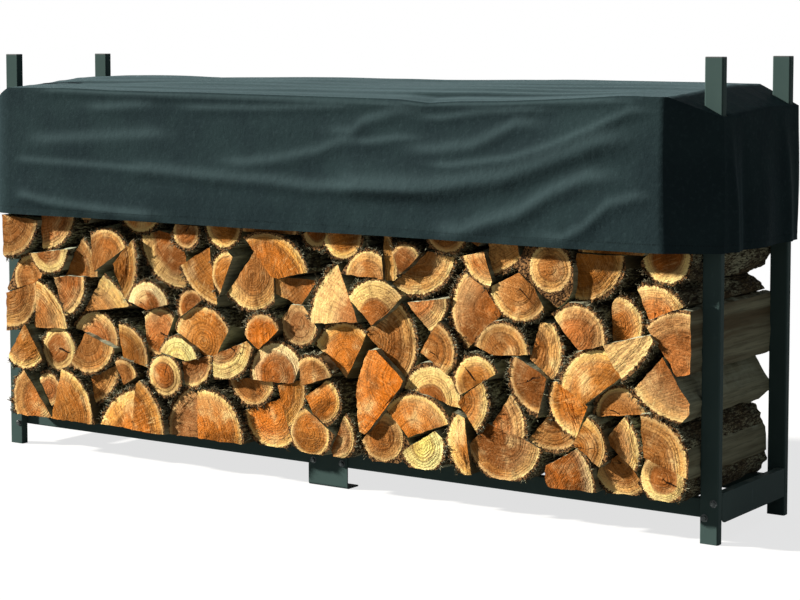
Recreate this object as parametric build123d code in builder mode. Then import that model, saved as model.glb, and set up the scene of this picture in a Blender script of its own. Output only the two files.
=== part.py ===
"""Covered log store: a bolted steel rack, a stack of split logs and a fitted cover.

Lengths are in millimetres. X runs along the store, Y from front to back, Z up.
The origin is on the ground, under the middle of the outer box.
"""
import os
from math import atan2, cos, hypot, pi, sin

from build123d import *

os.makedirs("parts", exist_ok=True)

# Rack: four tube posts, long rails in two halves, end rails and middle feet.
LENGTH = 2440.0
DEPTH = 430.0
HEIGHT = 1220.0
POST_WIDTH = 50.0
POST_DEPTH = 25.0
TUBE_WALL = 2.0
TUBE_CORNER = 4.0
RAIL_LIFT = 60.0
RAIL_HEIGHT = 50.0
RAIL_DEPTH = 25.0
RAIL_SPLICE_GAP = 2.0
END_RAIL_LIFT = 52.0
END_RAIL_HEIGHT = 76.0
END_RAIL_PLATE = 3.0
END_RAIL_CORNER = 18.0
END_RAIL_LIP = 22.0
END_TAB_WIDTH = 22.0
END_TAB_GAP = 2.0
FOOT_WIDTH = 135.0
FOOT_PLATE = 4.0
FOOT_FLANGE = 54.0
FOOT_BEND = 8.0
FOOT_HEIGHT = 106.0
FOOT_CORNER = 10.0
CAP_TOP = 3.0
CAP_SKIRT = 14.0
CAP_FIT = 0.3
CAP_EDGE = 1.2

# Log stack: it fills the bay between the posts, from the rails to the cover.
LOG_OVERHANG = 75.0
LOG_STAGGER = 32.0
LOG_GAP = 0.4
LOG_SWELL_SHARE = 0.14
BARK_CHORDS = 9
SETTLE_TURNS = 5

# Cover: a box of sheet, hipped at both ends, with a slit for each post.
COVER_SHEET = 2.0
COVER_DROP = 387.0
COVER_HIP_DROP = 56.0
POST_SHOW = 98.0
COVER_FRONT_EASE = 22.0
COVER_BACK_EASE = 18.0
COVER_END_EASE = 8.0
COVER_HIP = 112.0
COVER_CORNER_RUN = 122.0
COVER_CORNER_ROUND = 30.0
SLIT_EASE = 3.0
COVER_SEAT = 0.3

# Places that follow from the sizes above.
RACK_Y = (LOG_OVERHANG + COVER_FRONT_EASE - COVER_BACK_EASE) / 2
POST_X = (LENGTH - POST_WIDTH) / 2
POST_Y = (DEPTH - POST_DEPTH) / 2
BAY_HALF = LENGTH / 2 - POST_WIDTH
RAIL_TOP = RAIL_LIFT + RAIL_HEIGHT
RAIL_Y = DEPTH / 2 - POST_DEPTH - RAIL_DEPTH / 2
RAIL_FACE = DEPTH / 2 - POST_DEPTH
RAIL_END = LENGTH / 2 - END_TAB_WIDTH - END_TAB_GAP
TUBE_HEIGHT = HEIGHT - CAP_TOP
COVER_TOP = HEIGHT - POST_SHOW
COVER_HEM = COVER_TOP - COVER_DROP
COVER_SHOULDER = COVER_TOP - COVER_HIP_DROP
COVER_HALF = LENGTH / 2 + COVER_END_EASE
COVER_FRONT = -(DEPTH / 2 + LOG_OVERHANG + COVER_FRONT_EASE)
COVER_BACK = DEPTH / 2 + COVER_BACK_EASE
COVER_CORNER_DEPTH = LOG_OVERHANG + COVER_FRONT_EASE - COVER_END_EASE
STACK_TOP = COVER_TOP - COVER_SHEET - COVER_SEAT
LOG_FRONT = -(DEPTH / 2 + LOG_OVERHANG)
LOG_BACK = DEPTH / 2

# The stack's front is drawn on a grid that fills the bay. Each row gives one log's end:
# the first, middle and last points of its round bark, then the corners of its split faces.
# A row of two points is a whole round: its pith and a point on its bark.
GRID_ACROSS_SHARES = 234
GRID_UP_SHARES = 101
GRID_FOOT_SHARE = 11

BOTTOM_SHARES = (
    ((-112, 10), (-114, 18), (-109.5, 24.8), (-97.3, 10)),
    ((-103.5, 23.6), (-98.6, 25), (-94.8, 20.5), (-98, 15)),
    ((-92.7, 26.5), (-84.5, 22.6), (-81.3, 10), (-97.3, 10)),
    ((-71.2, 29.2), (-75.3, 20.8), (-81.2, 17), (-82.8, 24.3)),
    ((-78.2, 12.2), (-73, 19.3), (-63.6, 23.2), (-65, 10), (-77.5, 10)),
    ((-60.5, 25.4), (-55, 20), (-52.2, 10), (-65, 10), (-63.3, 23)),
    ((-51.8, 10), (-50.6, 19.5), (-45.5, 24.5), (-40.5, 22), (-40.5, 10)),
    ((-38.8, 25), (-28.3, 22), (-24.7, 10), (-39.8, 10), (-39.8, 24)),
    ((-23.5, 19.6), (-15.5, 10.5), (-6.5, 15), (-7.5, 18.5), (-10.2, 24.2)),
    ((-6.9, 16.3), (0, 10.5), (8.6, 18.3), (-0.8, 24.4)),
    ((12.2, 22.5), (15.4, 17), (9.5, 10), (7.6, 13.5), (11, 20.5)),
    ((17.2, 16.3), (24.5, 10.5), (32.3, 15.5), (25.9, 25)),
    ((31.9, 14.5), (39, 10.2), (44.6, 18.8), (41.8, 20.8)),
    ((48.2, 26), (46, 18), (54, 10), (53.2, 15), (52, 25)),
    ((53, 17.5), (62.5, 10.5), (73.3, 19), (70, 22), (59.5, 24.8)),
    ((86.8, 21.3), (89.7, 17), (91, 10), (79, 10), (77.5, 13.2), (78, 16.2)),
    ((91.2, 13.5), (98, 10.2), (103.8, 13.2), (97, 21.2), (92.4, 17.8)),
    ((103.8, 14.8), (110.5, 10.3), (115.8, 16.3), (114.5, 18), (106, 20.8)),
)

LOWER_SHARES = (
    ((-114.8, 28), (-108, 25.2), (-101.5, 28.8), (-108.2, 37.8)),
    ((-95.7, 32.6), (-89.3, 32.6)),
    ((-89, 28.4), (-80.5, 26.6), (-72.8, 35), (-83.5, 37.6)),
    ((-73, 35.3), (-78.5, 44.8), (-89, 39.8)),
    ((-72, 31.2), (-67.5, 32.2), (-63.2, 28), (-68.8, 24.6)),
    ((-70.2, 42.3), (-62.5, 39.5), (-59.7, 30.6), (-68, 32.5)),
    ((-61.2, 45.5), (-55.5, 48.5), (-50.5, 46.2), (-55.2, 35.6), (-59.8, 35.2)),
    ((-52.6, 29.2), (-46.7, 29.2)),
    ((-40.2, 35.2), (-47.5, 40.8), (-54, 35.8), (-44.5, 34)),
    ((-36, 35.6), (-36.8, 29.5), (-43.5, 26), (-45.6, 27.5), (-45.8, 33)),
    ((-32.5, 29.4), (-25, 30.4), (-19.7, 38.5), (-22, 40), (-32.7, 35.5)),
    ((-29, 29.5), (-22.5, 22.2), (-14, 29.5), (-14.5, 30.5)),
    ((-4, 36.8), (-13.8, 41), (-19.7, 30.7), (-6.7, 30.7)),
    ((-3.2, 37), (2.5, 39), (8.1, 34.2), (-1.7, 31)),
    ((-2.2, 31), (-2.4, 24), (-8, 17.3), (-10, 22), (-12, 28.4)),
    ((7.4, 31.9), (10.8, 27), (8.6, 21.5), (5.1, 19), (0.1, 26.8)),
    ((1.3, 42.2), (8.5, 48.5), (17.2, 46.5), (11, 34.6)),
    ((17.6, 20.3), (17.2, 31), (20.5, 40.5), (23.8, 40.6), (31, 33.2), (20, 19.6)),
    ((45.4, 25), (35, 31.2), (26.2, 26.4), (33, 20)),
    ((49, 28.8), (40.5, 39.2), (31.5, 32.5)),
    ((49.8, 32.6), (51.5, 42.5), (60.9, 39.2)),
    ((57.6, 36.4), (59.2, 30), (56, 23.8), (50.4, 30.5)),
    ((66, 33.6), (69.3, 28.5), (69.4, 22), (60, 24.5)),
    ((66.7, 44.2), (66, 36.5), (73.5, 30.8), (75.8, 40)),
    ((70.6, 21.4), (77, 19.6), (83.8, 22.2), (77, 28.7)),
    ((77.6, 37.2), (78, 29), (84, 24.7), (87.3, 33), (80, 37.9)),
    ((89.5, 30), (94.3, 24.5), (93, 17.8), (85.6, 23)),
    ((99.4, 30.6), (103, 25), (101.6, 17.6), (94.4, 24.7)),
    ((104.6, 32), (113.8, 28.2), (116.4, 18), (105.6, 21.6)),
    ((103.6, 32.5), (95.8, 38.5), (90.1, 30.5)),
    ((102.4, 37.8), (107.5, 33.2), (113.5, 31.4), (116.8, 34.8), (109.6, 46)),
)

MIDDLE_SHARES = (
    ((-104.2, 51.8), (-105.6, 42.8), (-111.5, 38.6), (-116.5, 37.8), (-116.5, 47.8)),
    ((-103.4, 53.6), (-106, 60.5), (-112.5, 57.8), (-116.2, 50)),
    ((-103, 53), (-95.5, 48.8), (-91, 39.4), (-104, 38.6)),
    ((-83.6, 56.4), (-84.6, 49.5), (-90.5, 44.2), (-95, 54.8)),
    ((-75.7, 56.5), (-70.5, 52.8), (-66, 48.3), (-83.6, 45.6)),
    ((-105, 61), (-98, 55.6), (-90.4, 63)),
    ((-85.5, 67.6), (-80.6, 62), (-79.8, 56.6), (-92.5, 56.2)),
    ((-67.8, 67.4), (-73.5, 71.8), (-80.6, 70.3), (-80.2, 59.6)),
    ((-102.6, 70.8), (-105.5, 64.2), (-114.5, 60), (-116.5, 61), (-116.5, 72)),
    ((-88.6, 75), (-91.5, 67.5), (-99.5, 63.3), (-101.3, 64.5), (-102, 75)),
    ((-64.5, 67), (-63, 60.5), (-67.2, 50), (-71.5, 60)),
    ((-62.5, 68.2), (-58, 58.5), (-49, 54.8), (-46.7, 56), (-46.7, 62.5), (-50, 68.6), (-56, 69.6)),
    ((-51.3, 50.2), (-58.6, 56.3), (-66, 50.3), (-58, 48)),
    ((-42, 54.8), (-47.6, 52), (-46.8, 46.2), (-39.5, 51)),
    ((-30.5, 44.5), (-38, 49.8), (-49, 41.6), (-40.5, 36.6), (-35.5, 36.4)),
    ((-45.8, 60.5), (-41.5, 54.3), (-34, 51), (-32.8, 53.5), (-35.1, 66.4)),
    ((-29.5, 66.8), (-34.6, 62), (-31.8, 55), (-27.4, 64.9)),
    ((-28.6, 54.5), (-20.5, 50.4), (-13.2, 53.8), (-13, 60), (-19.6, 65.8)),
    ((-0.6, 63.2), (-9.5, 71.8), (-21.8, 70), (-13, 60.4)),
    ((-13, 55.2), (-9.5, 54.4), (-5.2, 52.2), (0.8, 59.5), (-13, 60)),
    ((0.2, 48.6), (2.8, 58), (8.5, 64.3), (10.5, 63.8), (16, 50)),
    ((-10.2, 46), (-16.5, 49.4), (-21.5, 45.3), (-20.5, 42.5), (-16.5, 39.8)),
    ((-10.2, 46.8), (-4.3, 41), (2, 47), (-2, 51.6), (-6.2, 51.5)),
    ((30.5, 57.8), (21, 61.4), (14, 56.5), (21.8, 49.4)),
    ((29.5, 54.4), (34.4, 46), (31, 35), (19.8, 45), (19.6, 47.2)),
    ((43.2, 51), (48.8, 44.5), (46.5, 37.6), (38.2, 42.4)),
    ((45.5, 57), (44.8, 52.5), (41, 48.6), (34, 55.2)),
    ((51, 65), (46.4, 56.5), (51.5, 45.6), (61.8, 55.2), (57, 61.5)),
    ((70.5, 45.2), (62.8, 53), (55.3, 46.6), (62.5, 44.4)),
    ((59.8, 61.5), (65.5, 53.8), (74.8, 57), (71, 64.2), (67.5, 65.4)),
    ((78.3, 52.8), (80.8, 46.5), (78.4, 39.4), (71.7, 43.8), (74.8, 52.9)),
    ((86, 59.8), (92, 56.8), (93.2, 49.4), (87.4, 47.8), (79.6, 57), (84, 59.8)),
    ((97.5, 61.5), (102.8, 57.5), (102.6, 51.6), (95.6, 51.2), (95.4, 59.5)),
    ((92, 47.8), (85, 45.8), (80.6, 38.6), (87.2, 34), (97.6, 42)),
    ((107.3, 50.2), (104.5, 45.8), (99, 40.8), (92.4, 50.2), (106.3, 52.6)),
    ((115.1, 60.3), (109.5, 65), (102.4, 64.6), (106.4, 56.7)),
    ((116.6, 58.8), (110, 58.5), (105.2, 54.8), (112.3, 44.2), (116.6, 45.3)),
)

UPPER_SHARES = (
    ((-71, 76), (-64, 70.2), (-56, 76), (-63.5, 81)),
    ((-48.5, 76), (-44, 69.6), (-39.5, 76), (-44, 80)),
    ((-36.5, 76), (-32.5, 67.8), (-24.8, 72.5), (-28, 80)),
    ((-2.6, 76), (2.4, 69), (6.4, 73), (4, 80)),
    ((5.5, 71), (10, 66.4), (17.8, 73.5), (11, 81)),
    ((24.4, 68.4), (20.5, 69.6), (16.4, 68.4), (11.6, 63), (24.8, 62.4)),
    ((26, 74.5), (29.2, 68.5), (29.5, 62.6), (25.2, 62), (24.6, 74)),
    ((37, 69.5), (33, 72.2), (28.8, 70), (31.3, 64)),
    ((27, 60.2), (36.5, 57.8), (46.4, 66.5), (45.5, 68.4), (37.5, 68.7)),
    ((39, 75), (45.5, 69.6), (51.8, 75), (45.5, 79)),
    ((51.2, 69), (53.5, 64.5), (59, 62), (59.8, 64), (57.6, 70.4)),
    ((67.2, 68.6), (64, 66.6), (60.4, 65), (58.5, 73.5), (66, 74.6)),
    ((78.6, 58.6), (83.8, 66), (78, 75), (72, 74.4), (67.4, 67)),
    ((84, 60.8), (91.5, 62), (97, 69), (96.6, 72.5), (84.6, 73.5)),
    ((103.2, 74), (109.3, 65.6), (115.6, 73.6), (109, 81)),
)

# Under the cover nothing shows: three plain courses of halves, bark up and bark down in turn.
HIDDEN_COURSES = 3
HIDDEN_HALVES = 17
HIDDEN_FOOT_SHARE = 73
HIDDEN_HEAD_SHARE = 117

# How far each log's ends stand back from the stack's front and back, as shares of the stagger.
FRONT_SHARES = (0.2, 0.55, 0.1, 0.8, 0.35, 0.0, 0.6, 0.3, 0.95, 0.15, 0.45, 0.7, 0.25)
BACK_SHARES = (0.5, 0.1, 0.9, 0.3, 0.7, 0.0, 0.4, 1.0, 0.2, 0.6, 0.8)
BAYS = 4


def on_stack(place):
    """Place a point of the stack's grid on the stack's front, in X and Z."""
    across = place[0] / GRID_ACROSS_SHARES
    up = (place[1] - GRID_FOOT_SHARE) / GRID_UP_SHARES
    return (across * 2 * BAY_HALF, RAIL_TOP + up * (STACK_TOP - RAIL_TOP))


def circle_centre(first, middle, last):
    """Find the centre of the round through three points."""
    ax, az = middle[0] - first[0], middle[1] - first[1]
    bx, bz = last[0] - first[0], last[1] - first[1]
    turn = 2 * (ax * bz - az * bx)
    a2, b2 = ax * ax + az * az, bx * bx + bz * bz
    return (first[0] + (bz * a2 - az * b2) / turn, first[1] + (ax * b2 - bx * a2) / turn)


def bark(first, middle, last):
    """Run round the bark from its first point to its last, through the middle one."""
    cx, cz = circle_centre(first, middle, last)
    radius = hypot(first[0] - cx, first[1] - cz)
    start = atan2(first[1] - cz, first[0] - cx)
    crown = (atan2(middle[1] - cz, middle[0] - cx) - start) % (2 * pi)
    sweep = (atan2(last[1] - cz, last[0] - cx) - start) % (2 * pi)
    if crown > sweep:
        sweep -= 2 * pi
    turns = [start + sweep * step / BARK_CHORDS for step in range(BARK_CHORDS + 1)]
    return [(cx + radius * cos(turn), cz + radius * sin(turn)) for turn in turns]


def whole_round(pith, rim):
    """Run all the way round an unsplit log."""
    radius = hypot(rim[0] - pith[0], rim[1] - pith[1])
    steps = 2 * BARK_CHORDS
    turns = [2 * pi * step / steps for step in range(steps)]
    return [(pith[0] + radius * cos(turn), pith[1] + radius * sin(turn)) for turn in turns]


def area(outline):
    """Signed area of an outline, positive when it runs anticlockwise."""
    pairs = zip(outline, outline[1:] + outline[:1])
    return sum(x1 * z2 - x2 * z1 for (x1, z1), (x2, z2) in pairs) / 2


def middle_of(outline):
    """Mean of an outline's points."""
    count = len(outline)
    return (sum(x for x, z in outline) / count, sum(z for x, z in outline) / count)


def log_end(row):
    """Draw one log's end from its row, swelled a little so that it bears on its neighbours."""
    outline = whole_round(*row) if len(row) == 2 else bark(*row[:3]) + list(row[3:])
    if area(outline) < 0:
        outline.reverse()
    mx, mz = middle_of(outline)
    swell = 1 + LOG_SWELL_SHARE
    return [on_stack((mx + (x - mx) * swell, mz + (z - mz) * swell)) for x, z in outline]


def cut_back(outline, normal, limit):
    """Keep the part of an outline that lies within a limit along a direction."""
    kept = []
    for here, after in zip(outline, outline[1:] + outline[:1]):
        d1 = here[0] * normal[0] + here[1] * normal[1] - limit
        d2 = after[0] * normal[0] + after[1] * normal[1] - limit
        if d1 <= 0:
            kept.append(here)
        if d1 * d2 < 0:
            part = d1 / (d1 - d2)
            kept.append((here[0] + (after[0] - here[0]) * part, here[1] + (after[1] - here[1]) * part))
    return kept


def least_overlap(one, other):
    """Find the face along which two outlines overlap least: its direction, depth and limit."""
    best = None
    for outline, sign in ((one, 1), (other, -1)):
        for (x1, z1), (x2, z2) in zip(outline, outline[1:] + outline[:1]):
            run = hypot(x2 - x1, z2 - z1)
            if run < LOG_GAP:
                continue
            normal = (sign * (z2 - z1) / run, sign * (x1 - x2) / run)
            high = max(x * normal[0] + z * normal[1] for x, z in one)
            low = min(x * normal[0] + z * normal[1] for x, z in other)
            if best is None or high - low < best[1]:
                best = (normal, high - low, (high + low) / 2)
    return best


def span_at(outline, x):
    """Lowest and highest points of an outline at one place along the store."""
    heights = []
    for (x1, z1), (x2, z2) in zip(outline, outline[1:] + outline[:1]):
        if min(x1, x2) <= x <= max(x1, x2):
            heights += [z1, z2] if x1 == x2 else [z1 + (z2 - z1) * (x - x1) / (x2 - x1)]
    return (min(heights), max(heights)) if heights else None


def fall(one, other):
    """Clear height that one outline can fall before it lands on another, if that lies below it."""
    spans = [(span_at(one, x), span_at(other, x)) for x, z in one + other]
    drops = [upper[0] - lower[1] for upper, lower in spans if upper and lower]
    clear = min(drops, default=HEIGHT)
    return clear if clear > 0 else HEIGHT


def settle(ends):
    """Let each log fall straight down, the lowest first, until it bears on what is under it."""
    order = sorted(range(len(ends)), key=lambda log: min(z for x, z in ends[log]))
    for turn in range(SETTLE_TURNS):
        for log in order:
            foot = min(z for x, z in ends[log])
            drop = foot - RAIL_TOP - LOG_GAP / 2
            for other in order:
                if other != log and min(z for x, z in ends[other]) < foot + POST_WIDTH:
                    drop = min(drop, fall(ends[log], ends[other]) - LOG_GAP)
            if drop > 0:
                ends[log] = [(x, z - drop) for x, z in ends[log]]
    return ends


def part(ends):
    """Cut each two log ends that overlap back to the face they share, a gap apart."""
    for first in range(len(ends)):
        for second in range(first + 1, len(ends)):
            normal, depth, limit = least_overlap(ends[first], ends[second])
            if depth > -LOG_GAP / 2:
                ends[first] = cut_back(ends[first], normal, limit - LOG_GAP / 2)
                back = (-normal[0], -normal[1])
                ends[second] = cut_back(ends[second], back, -limit - LOG_GAP / 2)
    return ends


def bed(ends):
    """Part the log ends, settle them on the rails and trim them to the bay and the cover."""
    hip = hypot(COVER_HIP_DROP, COVER_HIP)
    hip_normal = (COVER_HIP_DROP / hip, COVER_HIP / hip)
    inner_half, inner_shoulder = COVER_HALF - COVER_SHEET, COVER_SHOULDER - COVER_SHEET
    hip_foot = inner_half * hip_normal[0] + inner_shoulder * hip_normal[1] - COVER_SEAT
    bay_limits = (
        ((0, -1), -RAIL_TOP - LOG_GAP / 2),
        ((1, 0), BAY_HALF - LOG_GAP / 2),
        ((-1, 0), BAY_HALF - LOG_GAP / 2),
    )
    cover_limits = (
        ((0, 1), STACK_TOP),
        (hip_normal, hip_foot),
        ((-hip_normal[0], hip_normal[1]), hip_foot),
    )
    bedded = ends
    for normal, limit in bay_limits:
        bedded = [cut_back(outline, normal, limit) for outline in bedded]
    bedded = part(settle(part(bedded)))
    for normal, limit in cover_limits:
        bedded = [cut_back(outline, normal, limit) for outline in bedded]
    return bedded


def tidy(outline):
    """Drop points that lie closer together than the gap between logs."""
    kept = []
    for point in outline:
        if not kept or hypot(point[0] - kept[-1][0], point[1] - kept[-1][1]) > LOG_GAP:
            kept.append(point)
    if hypot(kept[0][0] - kept[-1][0], kept[0][1] - kept[-1][1]) <= LOG_GAP:
        kept.pop()
    return kept


def front_of(outline, share):
    """Set a log's front end back by its share, and clear of the cover's slanted corners."""
    front = LOG_FRONT + LOG_STAGGER * share
    if max(z for x, z in outline) < COVER_HEM:
        return front
    past_corner = max(abs(x) for x, z in outline) - (COVER_HALF - COVER_CORNER_RUN)
    slope = COVER_CORNER_DEPTH / COVER_CORNER_RUN
    return max(front, COVER_FRONT + past_corner * slope + COVER_END_EASE)


def hidden_course(course):
    """Rows for one course of halves under the cover, bark down and bark up in turn."""
    rise = (HIDDEN_HEAD_SHARE - HIDDEN_FOOT_SHARE) / HIDDEN_COURSES
    low = HIDDEN_FOOT_SHARE + rise * course
    high = low + rise
    pitch = GRID_ACROSS_SHARES / HIDDEN_HALVES
    rows = []
    for place in range(HIDDEN_HALVES):
        middle = -GRID_ACROSS_SHARES / 2 + pitch * (place + 1 / 2)
        reach = pitch * 2 / 3
        if (place + course) % 2:
            rows.append(((middle + reach, low), (middle, high), (middle - reach, low)))
        else:
            rows.append(((middle - reach, high), (middle, low), (middle + reach, high)))
    return rows


COURSES = [
    ("bottom", list(BOTTOM_SHARES)),
    ("lower", list(LOWER_SHARES)),
    ("middle", list(MIDDLE_SHARES)),
    ("upper", list(UPPER_SHARES)),
    ("top", [row for course in range(HIDDEN_COURSES) for row in hidden_course(course)]),
]

# Logs: laid course by course and kept in four bays along the store.
ends = bed([log_end(row) for course, rows in COURSES for row in rows])
number = 0
for course, rows in COURSES:
    bays = [[] for bay in range(BAYS)]
    for row in rows:
        end = tidy(ends[number])
        bay = int((middle_of(end)[0] / BAY_HALF + 1) / 2 * BAYS)
        front = RACK_Y + front_of(end, FRONT_SHARES[number % len(FRONT_SHARES)])
        back = RACK_Y + LOG_BACK - LOG_STAGGER * BACK_SHARES[number % len(BACK_SHARES)]
        bays[bay].append((end, front, back))
        number += 1
    for bay, logs in enumerate(bays):
        with BuildPart() as laid:
            for end, front, back in logs:
                with BuildSketch(Plane.XZ.offset(-front)):
                    with BuildLine():
                        Polyline(*end, close=True)
                    make_face()
                extrude(amount=back - front, dir=(0, 1, 0))
        laid.part.label = f"logs_{course}_bay_{bay + 1}"
        export_step(laid.part, f"parts/{laid.part.label}.step")

# Posts: rounded rectangular tubes that stand on the ground, each closed by a plug cap.
SIDES = (("left", -1), ("right", 1))
ENDS = (("front", -1), ("back", 1))
for end_name, end_sign in ENDS:
    for side_name, side_sign in SIDES:
        place = (side_sign * POST_X, RACK_Y + end_sign * POST_Y)
        with BuildPart() as post:
            with BuildSketch(Plane.XY):
                with Locations(place):
                    RectangleRounded(POST_WIDTH, POST_DEPTH, TUBE_CORNER)
                    RectangleRounded(
                        POST_WIDTH - 2 * TUBE_WALL,
                        POST_DEPTH - 2 * TUBE_WALL,
                        TUBE_CORNER - TUBE_WALL,
                        mode=Mode.SUBTRACT,
                    )
            extrude(amount=TUBE_HEIGHT)
        post.part.label = f"post_{end_name}_{side_name}"
        export_step(post.part, f"parts/{post.part.label}.step")

        with BuildPart() as cap:
            with BuildSketch(Plane.XY.offset(TUBE_HEIGHT)):
                with Locations(place):
                    RectangleRounded(POST_WIDTH, POST_DEPTH, TUBE_CORNER)
            extrude(amount=CAP_TOP)
            chamfer(cap.faces().sort_by(Axis.Z)[-1].edges(), CAP_EDGE)
            with BuildSketch(Plane.XY.offset(TUBE_HEIGHT)):
                with Locations(place):
                    RectangleRounded(
                        POST_WIDTH - 2 * TUBE_WALL - 2 * CAP_FIT,
                        POST_DEPTH - 2 * TUBE_WALL - 2 * CAP_FIT,
                        TUBE_CORNER - TUBE_WALL,
                    )
            extrude(amount=-CAP_SKIRT)
        cap.part.label = f"cap_{end_name}_{side_name}"
        export_step(cap.part, f"parts/{cap.part.label}.step")

# Long rails: tubes behind the posts, each in two halves that meet at the middle foot.
for end_name, end_sign in ENDS:
    for side_name, side_sign in SIDES:
        with BuildPart() as rail:
            with BuildSketch(Plane.YZ.offset(side_sign * RAIL_SPLICE_GAP / 2)):
                with Locations((RACK_Y + end_sign * RAIL_Y, RAIL_LIFT + RAIL_HEIGHT / 2)):
                    RectangleRounded(RAIL_DEPTH, RAIL_HEIGHT, TUBE_CORNER)
                    RectangleRounded(
                        RAIL_DEPTH - 2 * TUBE_WALL,
                        RAIL_HEIGHT - 2 * TUBE_WALL,
                        TUBE_CORNER - TUBE_WALL,
                        mode=Mode.SUBTRACT,
                    )
            extrude(amount=side_sign * (RAIL_END - RAIL_SPLICE_GAP / 2))
        rail.part.label = f"rail_{end_name}_{side_name}"
        export_step(rail.part, f"parts/{rail.part.label}.step")

# End rails: folded plates between the posts, flush with their outer faces.
for side_name, side_sign in SIDES:
    with BuildPart() as end_rail:
        with BuildSketch(Plane.YZ.offset(side_sign * LENGTH / 2)):
            with Locations((RACK_Y, END_RAIL_LIFT + END_RAIL_HEIGHT / 2)):
                web = Rectangle(2 * RAIL_FACE, END_RAIL_HEIGHT)
            fillet(web.vertices().sort_by(Axis.Z)[:2], END_RAIL_CORNER)
        extrude(amount=-side_sign * END_RAIL_PLATE)
        for end_name, end_sign in ENDS:
            with BuildSketch(Plane.XZ.offset(-RACK_Y - end_sign * RAIL_FACE)):
                with Locations((
                    side_sign * (LENGTH / 2 - END_TAB_WIDTH / 2),
                    END_RAIL_LIFT + (END_RAIL_HEIGHT + END_RAIL_CORNER) / 2,
                )):
                    Rectangle(END_TAB_WIDTH, END_RAIL_HEIGHT - END_RAIL_CORNER)
            extrude(amount=END_RAIL_PLATE, dir=(0, -end_sign, 0))
        with BuildSketch(Plane.XY.offset(END_RAIL_LIFT + END_RAIL_HEIGHT)):
            with Locations((side_sign * (LENGTH / 2 - END_RAIL_LIP / 2), RACK_Y)):
                Rectangle(END_RAIL_LIP, 2 * RAIL_FACE)
        extrude(amount=-END_RAIL_PLATE)
    end_rail.part.label = f"end_rail_{side_name}"
    export_step(end_rail.part, f"parts/{end_rail.part.label}.step")

# Middle feet: folded plates bolted over the joint of the long rails.
for end_name, end_sign in ENDS:
    face = RACK_Y + end_sign * RAIL_FACE
    outer = face + end_sign * FOOT_PLATE
    with BuildPart() as foot:
        with BuildSketch(Plane.YZ.offset(-FOOT_WIDTH / 2)):
            with BuildLine():
                Polyline(
                    (outer, FOOT_HEIGHT),
                    (outer, 0),
                    (outer - end_sign * FOOT_FLANGE, 0),
                    (outer - end_sign * FOOT_FLANGE, FOOT_PLATE),
                    (face, FOOT_PLATE),
                    (face, FOOT_HEIGHT),
                    close=True,
                )
            profile = make_face()
        extrude(amount=FOOT_WIDTH)
        long_edges = foot.edges().filter_by(Axis.X)
        fillet(long_edges.sort_by_distance((0, outer, 0))[0], FOOT_BEND)
        inner_edges = foot.edges().filter_by(Axis.X).sort_by_distance((0, face, FOOT_PLATE))
        fillet(inner_edges[0], FOOT_BEND - FOOT_PLATE)
        top_corners = foot.edges().filter_by(Axis.Y).group_by(Axis.Z)[-1]
        fillet(top_corners, FOOT_CORNER)
    foot.part.label = f"foot_{end_name}"
    export_step(foot.part, f"parts/{foot.part.label}.step")


def cover_form(inset, floor):
    """Outer or inner form of the cover: its plan raised, its ends hipped, its edges eased."""
    half = COVER_HALF - inset
    front = RACK_Y + COVER_FRONT + inset
    back = RACK_Y + COVER_BACK - inset
    with BuildPart() as form:
        with BuildSketch(Plane.XY.offset(floor)):
            with BuildLine():
                Polyline(
                    (-half + COVER_CORNER_RUN, front),
                    (half - COVER_CORNER_RUN, front),
                    (half, front + COVER_CORNER_DEPTH),
                    (half, back),
                    (-half, back),
                    (-half, front + COVER_CORNER_DEPTH),
                    close=True,
                )
            plan = make_face()
            fillet(plan.vertices().sort_by(Axis.Y)[:2], COVER_CORNER_ROUND)
        extrude(amount=COVER_TOP - inset - floor)
        with BuildSketch(Plane.XZ.offset(-front)):
            with BuildLine():
                Polyline(
                    (-half, floor),
                    (half, floor),
                    (half, COVER_SHOULDER - inset),
                    (half - COVER_HIP, COVER_TOP - inset),
                    (-half + COVER_HIP, COVER_TOP - inset),
                    (-half, COVER_SHOULDER - inset),
                    close=True,
                )
            make_face()
        extrude(amount=back - front, dir=(0, 1, 0), mode=Mode.INTERSECT)
    return form.part


# Cover: one sheet, open below, with the four post slits cut through its hipped ends.
with BuildPart() as cover:
    add(cover_form(0, COVER_HEM))
    add(cover_form(COVER_SHEET, COVER_HEM - COVER_SHEET), mode=Mode.SUBTRACT)
    for end_name, end_sign in ENDS:
        for side_name, side_sign in SIDES:
            with BuildSketch(Plane.XY.offset(COVER_SHOULDER - COVER_HIP)):
                with Locations((side_sign * POST_X, RACK_Y + end_sign * POST_Y)):
                    Rectangle(POST_WIDTH + 2 * SLIT_EASE, POST_DEPTH + 2 * SLIT_EASE)
            extrude(amount=2 * COVER_HIP, mode=Mode.SUBTRACT)
cover.part.label = "cover"
export_step(cover.part, "parts/cover.step")
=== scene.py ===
"""Covered log store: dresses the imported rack, logs and cover, and lights them in a plain studio.

Lengths are in metres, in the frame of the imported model: X along the store, Y to the back, Z up.
"""
import logging
import math
import random
from collections import Counter
from dataclasses import dataclass, field
from enum import Enum, IntEnum
from typing import Callable

import bmesh
import bpy
import numpy as np
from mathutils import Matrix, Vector, noise


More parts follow.
